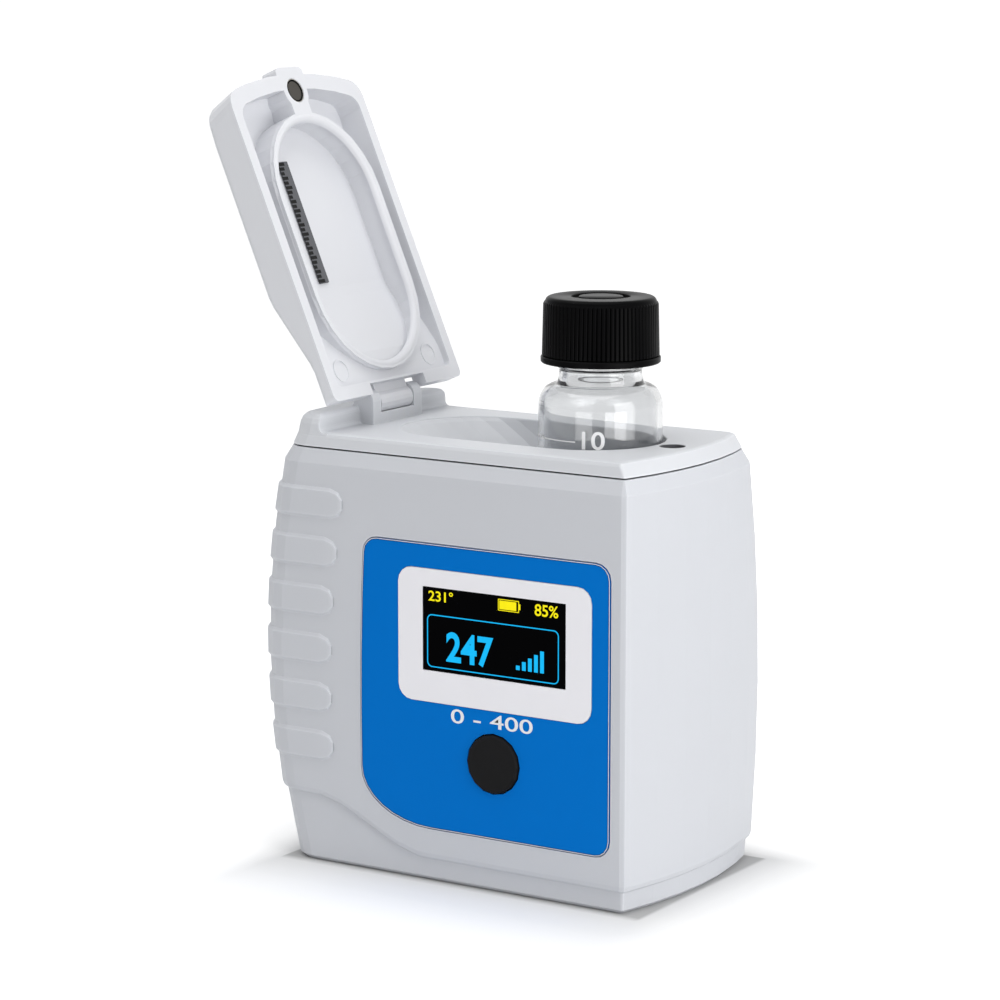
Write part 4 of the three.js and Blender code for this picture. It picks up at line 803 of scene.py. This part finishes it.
def vial_print():
    """The fill line, in short strips that follow the glass, and its number, both fired on in white."""
    left, right, low, high = GLASS_LINE
    ends = [left + (right - left) * i / LINE_STEPS for i in range(LINE_STEPS + 1)]
    strips = [[(a, high), (b, high), (b, low), (a, low)] for a, b in zip(ends, ends[1:])]
    flat_piece("fill_line", strips, on_glass, white_ink, "white_film", "vial")
    lettering("fill_number", "10", GLASS_NUMBER, on_glass, white_ink, "white_film", "vial", 0.014)


# Display, laid out as shares of the screen: across from its left, down from its top

FRAME_SHARES = (0.029, 0.957, 0.32, 0.96)
READING_SHARES = (0.166, 0.50, 0.506, 0.876)
COUNT_SHARES = (0.04, 0.215, 0.03, 0.16)
CHARGE_SHARES = (0.79, 0.952, 0.035, 0.176)
BATTERY_SHARES = (0.534, 0.69, 0.03, 0.17)
BARS_SHARES = (0.66, 0.87, 0.59, 0.85)
FRAME_LINE = 0.22
FRAME_ROUND = 1.2
SYMBOL_LINE = 0.16
SYMBOL_ROUND = SYMBOL_LINE / 4
NUB_SHARE = 0.06
BAR_COUNT = 5
BAR_SHARE = 0.62


def display_picture():
    """What the display shows: a reading in a box, a small number, the battery's charge and a level scale."""
    low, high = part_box("display_window")
    left, wide = low[0] / MM, (high[0] - low[0]) / MM
    top, tall = high[2] / MM, (high[2] - low[2]) / MM
    place = on_face(low[1])

    def spot(shares):
        """The box of these shares, as (left, right, low, high) in mm."""
        start, end, above, below = shares
        return (left + wide * start, left + wide * end, top - tall * below, top - tall * above)

    def write(name, words, shares, material, weight):
        lettering(name, words, spot(shares), place, material, "screen_black", "case", weight)

    def boxed(name, box, radius, line, material):
        outer = rounded_box(*box, radius)
        band_piece(name, outer, grown(outer, -line), place, material, "screen_black", "case")

    boxed("screen_frame", spot(FRAME_SHARES), FRAME_ROUND, FRAME_LINE, pixel_cyan)
    write("screen_reading", "247", READING_SHARES, pixel_cyan, 0.025)
    write("screen_count", "231°", COUNT_SHARES, pixel_yellow, 0.012)
    write("screen_charge", "85%", CHARGE_SHARES, pixel_yellow, 0.012)
    cell = spot(BATTERY_SHARES)
    nub = (cell[1] - cell[0]) * NUB_SHARE
    shell = (cell[0], cell[1] - nub, cell[2], cell[3])
    boxed("screen_battery", shell, SYMBOL_LINE, SYMBOL_LINE, pixel_yellow)
    gap = 2 * SYMBOL_LINE
    fill = rounded_box(shell[0] + gap, shell[1] - 2 * gap, shell[2] + gap, shell[3] - gap, SYMBOL_ROUND, 1)
    middle, half = (cell[2] + cell[3]) / 2, (cell[3] - cell[2]) / 4
    tip = rounded_box(shell[1], cell[1], middle - half, middle + half, SYMBOL_ROUND, 1)
    flat_piece("screen_battery_fill", [fill, tip], place, pixel_yellow, "screen_black", "case")
    first, last, foot, crest = spot(BARS_SHARES)
    pitch, rise = (last - first) / BAR_COUNT, (crest - foot) / BAR_COUNT
    bars = [rounded_box(first + pitch * i, first + pitch * (i + BAR_SHARE), foot, foot + rise * (i + 1),
                        SYMBOL_ROUND, 1)
            for i in range(BAR_COUNT)]
    flat_piece("screen_level_bars", bars, place, pixel_cyan, "screen_black", "case")


# The lid's small details, in the lid's own frame: along from the pin, across, and height above the pin when
# the lid is shut. What stands out of its inside goes towards the case

lid_joint = joints["lid_hinge"]
PIN = Vector(lid_joint["pos_m"])
LID_OPEN = math.radians(lid_joint["range_deg"][1])
LID_NEAR = 1.15
LID_RIM = -3.77
LID_THIN = 3.25
LID_WALL = 1.8


def on_lid(along, across, height):
    """The point of the open lid that is at this place in the lid's own frame."""
    x = along * math.cos(LID_OPEN) - height * math.sin(LID_OPEN)
    z = along * math.sin(LID_OPEN) + height * math.cos(LID_OPEN)
    return PIN + Vector((x, across, z)) * MM


def on_lid_at(height):
    """Places on the lid's inside, from one height outwards."""
    def place(along, across, out):
        return on_lid(along, across, height - out)
    return place


def lid_floor_place(along, across, out):
    """Places on the floor of the lid's thin end, along from its near edge."""
    return on_lid(LID_NEAR + along, across, LID_RIM + LID_THIN - LID_WALL - out)


def lid_span(node):
    """How far a lid node reaches in the lid's own frame, in mm: along it, and then in height."""
    back = Matrix.Rotation(LID_OPEN, 3, "Y")
    places = [back @ (vertex.co - PIN) / MM for vertex in nodes[node].data.vertices]
    alongs = [place.x for place in places]
    heights = [place.z for place in places]
    return min(alongs), max(alongs), min(heights), max(heights)


SHIELD_ENDS = (23.55, 45.05)
SHIELD_RADIUS = 16.75
BEAD_WIDE = 2.1
BEAD_TALL = 1.1
BEAD_LIFT = 0.1
BEAD_STEPS = 8
OVAL_STEPS = 32


def oval(ends, radius):
    """A long oval round two centres on the lid's middle line."""
    near, far = ends
    return (arc((near, 0), radius, radius, 90, 270, OVAL_STEPS)
            + arc((far, 0), radius, radius, -90, 90, OVAL_STEPS))


def ridge_bead():
    """The rounded crest of the oval light ridge inside the lid."""
    shape = bmesh.new()
    rings = []
    for i in range(BEAD_STEPS + 1):
        turn = math.pi * i / BEAD_STEPS
        outline = oval(SHIELD_ENDS, SHIELD_RADIUS + math.cos(turn) * BEAD_WIDE / 2)
        height = LID_RIM + BEAD_TALL - BEAD_LIFT - math.sin(turn) * BEAD_TALL
        rings.append([shape.verts.new(on_lid(along, across, height)) for along, across in outline])
    join_rings(shape, zip(rings, rings[1:] + rings[:1]))
    finish_piece(new_piece("ridge_bead", shape), lid_plastic, "lid_plastic", "lid", 50)


MOULD_MARK = (6.3, 16.0, 2.4)
MOULD_MARK_LINE = 0.22
STEP_LINE_ALONG = (2.55, 2.85)
STEP_LINE_ACROSS = (9.2, 20.2)
MARK_RISE = 0.16


def lid_mould_marks():
    """Ejector marks in the two corners by the hinge, and the fine step beside the near edge."""
    along, across, radius = MOULD_MARK
    for label, side in (("left", -1), ("right", 1)):
        middle = (along, side * across)
        band_piece(f"lid_mould_mark_{label}", circle(middle, radius, 32),
                   circle(middle, radius - MOULD_MARK_LINE, 32), lid_floor_place,
                   lid_plastic, "lid_plastic", "lid", MARK_RISE)
        step = rounded_box(*STEP_LINE_ALONG, *sorted(side * reach for reach in STEP_LINE_ACROSS), 0.1, 3)
        flat_piece(f"lid_step_{label}", [step], lid_floor_place,
                   lid_plastic, "lid_plastic", "lid", MARK_RISE)


STRIP_ACROSS = (-6.7, -3.5)
STRIP_ROUND = 0.2
TICK_COUNT = 26
TICK_LENGTHS = (1.9, 1.2, 1.6, 0.9, 1.4)
TICK_START, TICK_SHARE = 0.15, 0.7
TICK_OVERHANG = 0.25
TICK_ROUND = 0.08


def fine_strip():
    """The narrow printed strip on the lid's floor, with a plain scale of black ticks along one edge."""
    low, high, face, floor = lid_span("lid_strip")
    plate = rounded_box(low, high, *STRIP_ACROSS, STRIP_ROUND, 2)
    strip = flat_piece("fine_strip", [plate], on_lid_at(floor),
                       strip_grey, "strip_grey", "lid", floor - face)
    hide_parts("lid_strip")
    side = STRIP_ACROSS[0]
    pitch = (high - low) / TICK_COUNT
    ticks = []
    for i in range(TICK_COUNT):
        start = low + pitch * (i + TICK_START)
        reach = TICK_LENGTHS[i % len(TICK_LENGTHS)]
        ticks.append(rounded_box(start, start + pitch * TICK_SHARE, side - TICK_OVERHANG, side + reach,
                                 TICK_ROUND, 1))
    flat_piece("lid_strip_ticks", ticks, on_lid_at(face - PRINT_LIFT), tick_black, "strip_grey", "lid")


MAGNET_RIM = 0.1
MAGNET_GAP = 0.5
MAGNET_LIP = 0.12
SLEEVE_DEEP = 0.7


def magnet_rings():
    """Round each magnet's face, a thin bright edge that is a painted highlight of its bevel, a dark band inside it
    that is a painted shade of the groove, and the deck's sleeve.
    """
    near, far, face = lid_span("lid_magnet")[:3]
    low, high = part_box("deck_magnet")

    def on_deck(across, along, out):
        return Vector((across * MM, along * MM, high[2] + out * MM))

    def rings(left, right):
        middle, radius = ((left + right) / 2, 0), (right - left) / 2
        return [circle(middle, radius - inset, 48) for inset in (0, MAGNET_RIM, MAGNET_GAP)]

    lid_rings, deck_rings = rings(near, far), rings(low[0] / MM, high[0] / MM)
    for name, body, (edge, rim, gap), place in (
        ("lid", "lid", lid_rings, on_lid_at(face)),
        ("deck", "case", deck_rings, on_deck),
    ):
        band_piece(f"{name}_painted_rim_highlight", edge, rim, place, painted_rim_highlight, "magnet_plate", body, MAGNET_LIP)
        band_piece(f"{name}_painted_gap_shade", rim, gap, place, painted_gap_shade, "magnet_plate", body)
    band_piece("deck_magnet_sleeve", *deck_rings[:2], on_deck, strip_grey, "magnet_plate", "case",
               SLEEVE_DEEP)


CROSS_ARM = 0.36
CROSS_SHARE = 0.6


def screw_crosses():
    """The cross recess in each screw head under the base, drawn as a flat dark cross: a painted shade of the
    recess.
    """
    for i in range(1, 5):
        low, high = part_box(f"base_screw_{i}")
        x, y = (low[0] + high[0]) / 2 / MM, (low[1] + high[1]) / 2 / MM
        reach, arm = (high[0] - low[0]) / 2 / MM * CROSS_SHARE, CROSS_ARM
        cross = [(-reach, -arm), (-arm, -arm), (-arm, -reach), (arm, -reach), (arm, -arm), (reach, -arm),
                 (reach, arm), (arm, arm), (arm, reach), (-arm, reach), (-arm, arm), (-reach, arm)]
        outline = [(x + across, y + up) for across, up in cross]
        foot = low[2] - 0.01 * MM
        flat_piece(f"base_screw_{i}_cross", [outline],
                   lambda across, up, out: Vector((across * MM, up * MM, foot - out * MM)),
                   painted_gap_shade, "steel", "case")


# Studio: a white floor, a plain world, a light overhead, and soft boxes standing on the table

FLOOR_HALF = 6.0

# Where each rise of the paper's glow starts and ends, in metres from the instrument's foot, and the rise. The glow
# held low near the foot is a painted shadow of the instrument, and the paper darkened within CONTACT_REACH is a
# painted contact shadow
GLOW_STEPS = ((0.003, 0.02, 0.18), (0.02, 0.045, 0.2), (0.045, 0.15, 0.27))
CONTACT_REACH = 0.0025
CONTACT_SHADE = 0.6
FOOT_LEVEL = 1.5 * MM

# How much sooner the glow rises on the right, and on the left and behind, than in front
RIGHT_SIDE_GAIN = 2.2
FAR_SIDE_GAIN = 5.0

# Lights: bearing from straight ahead in degrees, distance, width and height in metres, and power in watts
LIGHTING_BOXES = {
    "key_box": (78.0, 0.6, 0.42, 0.5, 2.1),
    "fill_box": (2.5, 0.6, 0.34, 0.5, 0.15),
}
SHEEN_BOXES = {
    "right_sheen": (60.5, 0.36, 0.25, 0.07, 0.2),
    "front_sheen": (2.5, 0.36, 0.2, 0.07, 0.09),
}
OVERHEAD_BOX = (0.0, 0.0, 0.6, 0.4, 1.45)
OVERHEAD_PLACE = (-0.05, -0.1, 0.6)
AMBIENT_COLOUR = (0.985, 0.992, 1.0, 1)
AMBIENT_STRENGTH = 0.46


def paper_glow_and_painted_shadow(graph, place):
    """Painted shadow on the paper: how strongly it glows, and how light it is, both least where the instrument's
    shadow lies.
    """
    foot = [vertex.co for vertex in nodes["main_housing"].data.vertices if vertex.co.z < FOOT_LEVEL]
    left, right = min(point.x for point in foot), max(point.x for point in foot)
    front, back = min(point.y for point in foot), max(point.y for point in foot)
    apart = graph.add("ShaderNodeSeparateXYZ", Vector=place)
    x, y = apart.outputs["X"], apart.outputs["Y"]

    def beyond(first, second, gain):
        return graph.math("MULTIPLY", graph.math("SUBTRACT", first, second), gain)

    sideways = graph.math("MAXIMUM", beyond(left, x, FAR_SIDE_GAIN), beyond(x, right, RIGHT_SIDE_GAIN))
    across = graph.math("MAXIMUM", sideways, 0.0)
    lengthways = graph.math("MAXIMUM", beyond(front, y, 1.0), beyond(y, back, FAR_SIDE_GAIN))
    along = graph.math("MAXIMUM", lengthways, 0.0)
    square = graph.math("MULTIPLY_ADD", across, across, graph.math("MULTIPLY", along, along))
    away = graph.math("SQRT", square)
    total = 0.0
    for near, far, rise in GLOW_STEPS:
        total = graph.math("ADD", graph.spread(away, near, far, 0.0, rise), total)
    return total, graph.spread(away, 0.0, CONTACT_REACH, CONTACT_SHADE, 1.0)


def seen_directly(graph):
    """1 for what the camera sees, also in gloss and through glass, and 0 for what only lights."""
    seen = graph.add("ShaderNodeLightPath").outputs
    mirrored = graph.math("MAXIMUM", seen["Is Glossy Ray"], seen["Is Transmission Ray"])
    return graph.math("MAXIMUM", seen["Is Camera Ray"], mirrored)


def studio_floor():
    """White paper. Where it is seen it glows a little, more with distance, and near the instrument's foot it is
    darker: a painted shadow.
    """
    material, graph, shader = new_material("studio_paper")
    shader.inputs["Roughness"].default_value = 0.9
    shader.inputs["Specular IOR Level"].default_value = 0.1
    place = graph.add("ShaderNodeTexCoord").outputs["Object"]
    rise, painted_contact_shadow = paper_glow_and_painted_shadow(graph, place)
    graph.feed(shader, "Base Color", graph.brighten(linear(240, 240, 240), painted_contact_shadow))
    bump = graph.add("ShaderNodeBump", Height=graph.noise(place, 600.0), Distance=0.00002)
    graph.feed(shader, "Normal", bump.outputs[0])
    level = graph.math("MULTIPLY", seen_directly(graph), rise)
    glow = graph.add("ShaderNodeEmission", Color=WHITE, Strength=level)
    both = graph.tree.nodes.new("ShaderNodeAddShader")
    graph.feed(both, 0, shader.outputs[0])
    graph.feed(both, 1, glow.outputs[0])
    graph.feed(graph.tree.nodes["Material Output"], "Surface", both.outputs[0])
    mesh = bpy.data.meshes.new("studio_floor")
    corners = [(x * FLOOR_HALF, y * FLOOR_HALF, 0) for x, y in ((-1, -1), (1, -1), (1, 1), (-1, 1))]
    mesh.from_pydata(corners, [], [(0, 1, 2, 3)])
    floor = add_object("studio_floor", mesh)
    floor.location.z = cad_box[0][2] - 0.0001
    mesh.materials.append(material)


def soft_box(name, around, off, wide, tall, power):
    """An upright soft box that faces the instrument. around is its bearing: 0 in front, 90 on the right."""
    lamp = bpy.data.lights.new(name, "AREA")
    lamp.shape = "RECTANGLE"
    lamp.size = wide
    lamp.size_y = tall
    lamp.energy = power
    turn = math.radians(around)
    obj = add_object(name, lamp)
    obj.location = (math.sin(turn) * off, -math.cos(turn) * off, tall / 2)
    obj.rotation_euler = (math.pi / 2, 0, turn)
    obj.visible_camera = False
    return obj


def overhead_light():
    box = soft_box("overhead_light", *OVERHEAD_BOX)
    box.location = OVERHEAD_PLACE
    box.rotation_euler = (0, 0, 0)


def studio_world():
    world = bpy.data.worlds.new("studio_world")
    bpy.context.scene.world = world
    world.use_nodes = True
    graph = Graph(world.node_tree)
    ambient = world.node_tree.nodes["Background"]
    ambient.inputs["Color"].default_value = AMBIENT_COLOUR
    ambient.inputs["Strength"].default_value = AMBIENT_STRENGTH
    white = graph.add("ShaderNodeBackground", Color=WHITE, Strength=1.0)
    both = graph.add("ShaderNodeMixShader", Fac=seen_directly(graph))
    graph.feed(both, 1, ambient.outputs[0])
    graph.feed(both, 2, white.outputs[0])
    graph.feed(world.node_tree.nodes["World Output"], "Surface", both.outputs[0])


def studio():
    """The sheen boxes light nothing: they only show in gloss, as bands down the glass."""
    studio_floor()
    studio_world()
    overhead_light()
    for name, values in LIGHTING_BOXES.items():
        soft_box(name, *values)
    for name, values in SHEEN_BOXES.items():
        soft_box(name, *values).visible_diffuse = False
    bpy.context.scene.view_settings.view_transform = "Standard"


photo_camera()
dress_frame()
fine_vial()
fine_cap()
fine_cells()
overlay_trim()
range_print()
vial_print()
display_picture()
ridge_bead()
lid_mould_marks()
fine_strip()
magnet_rings()
screw_crosses()
studio()
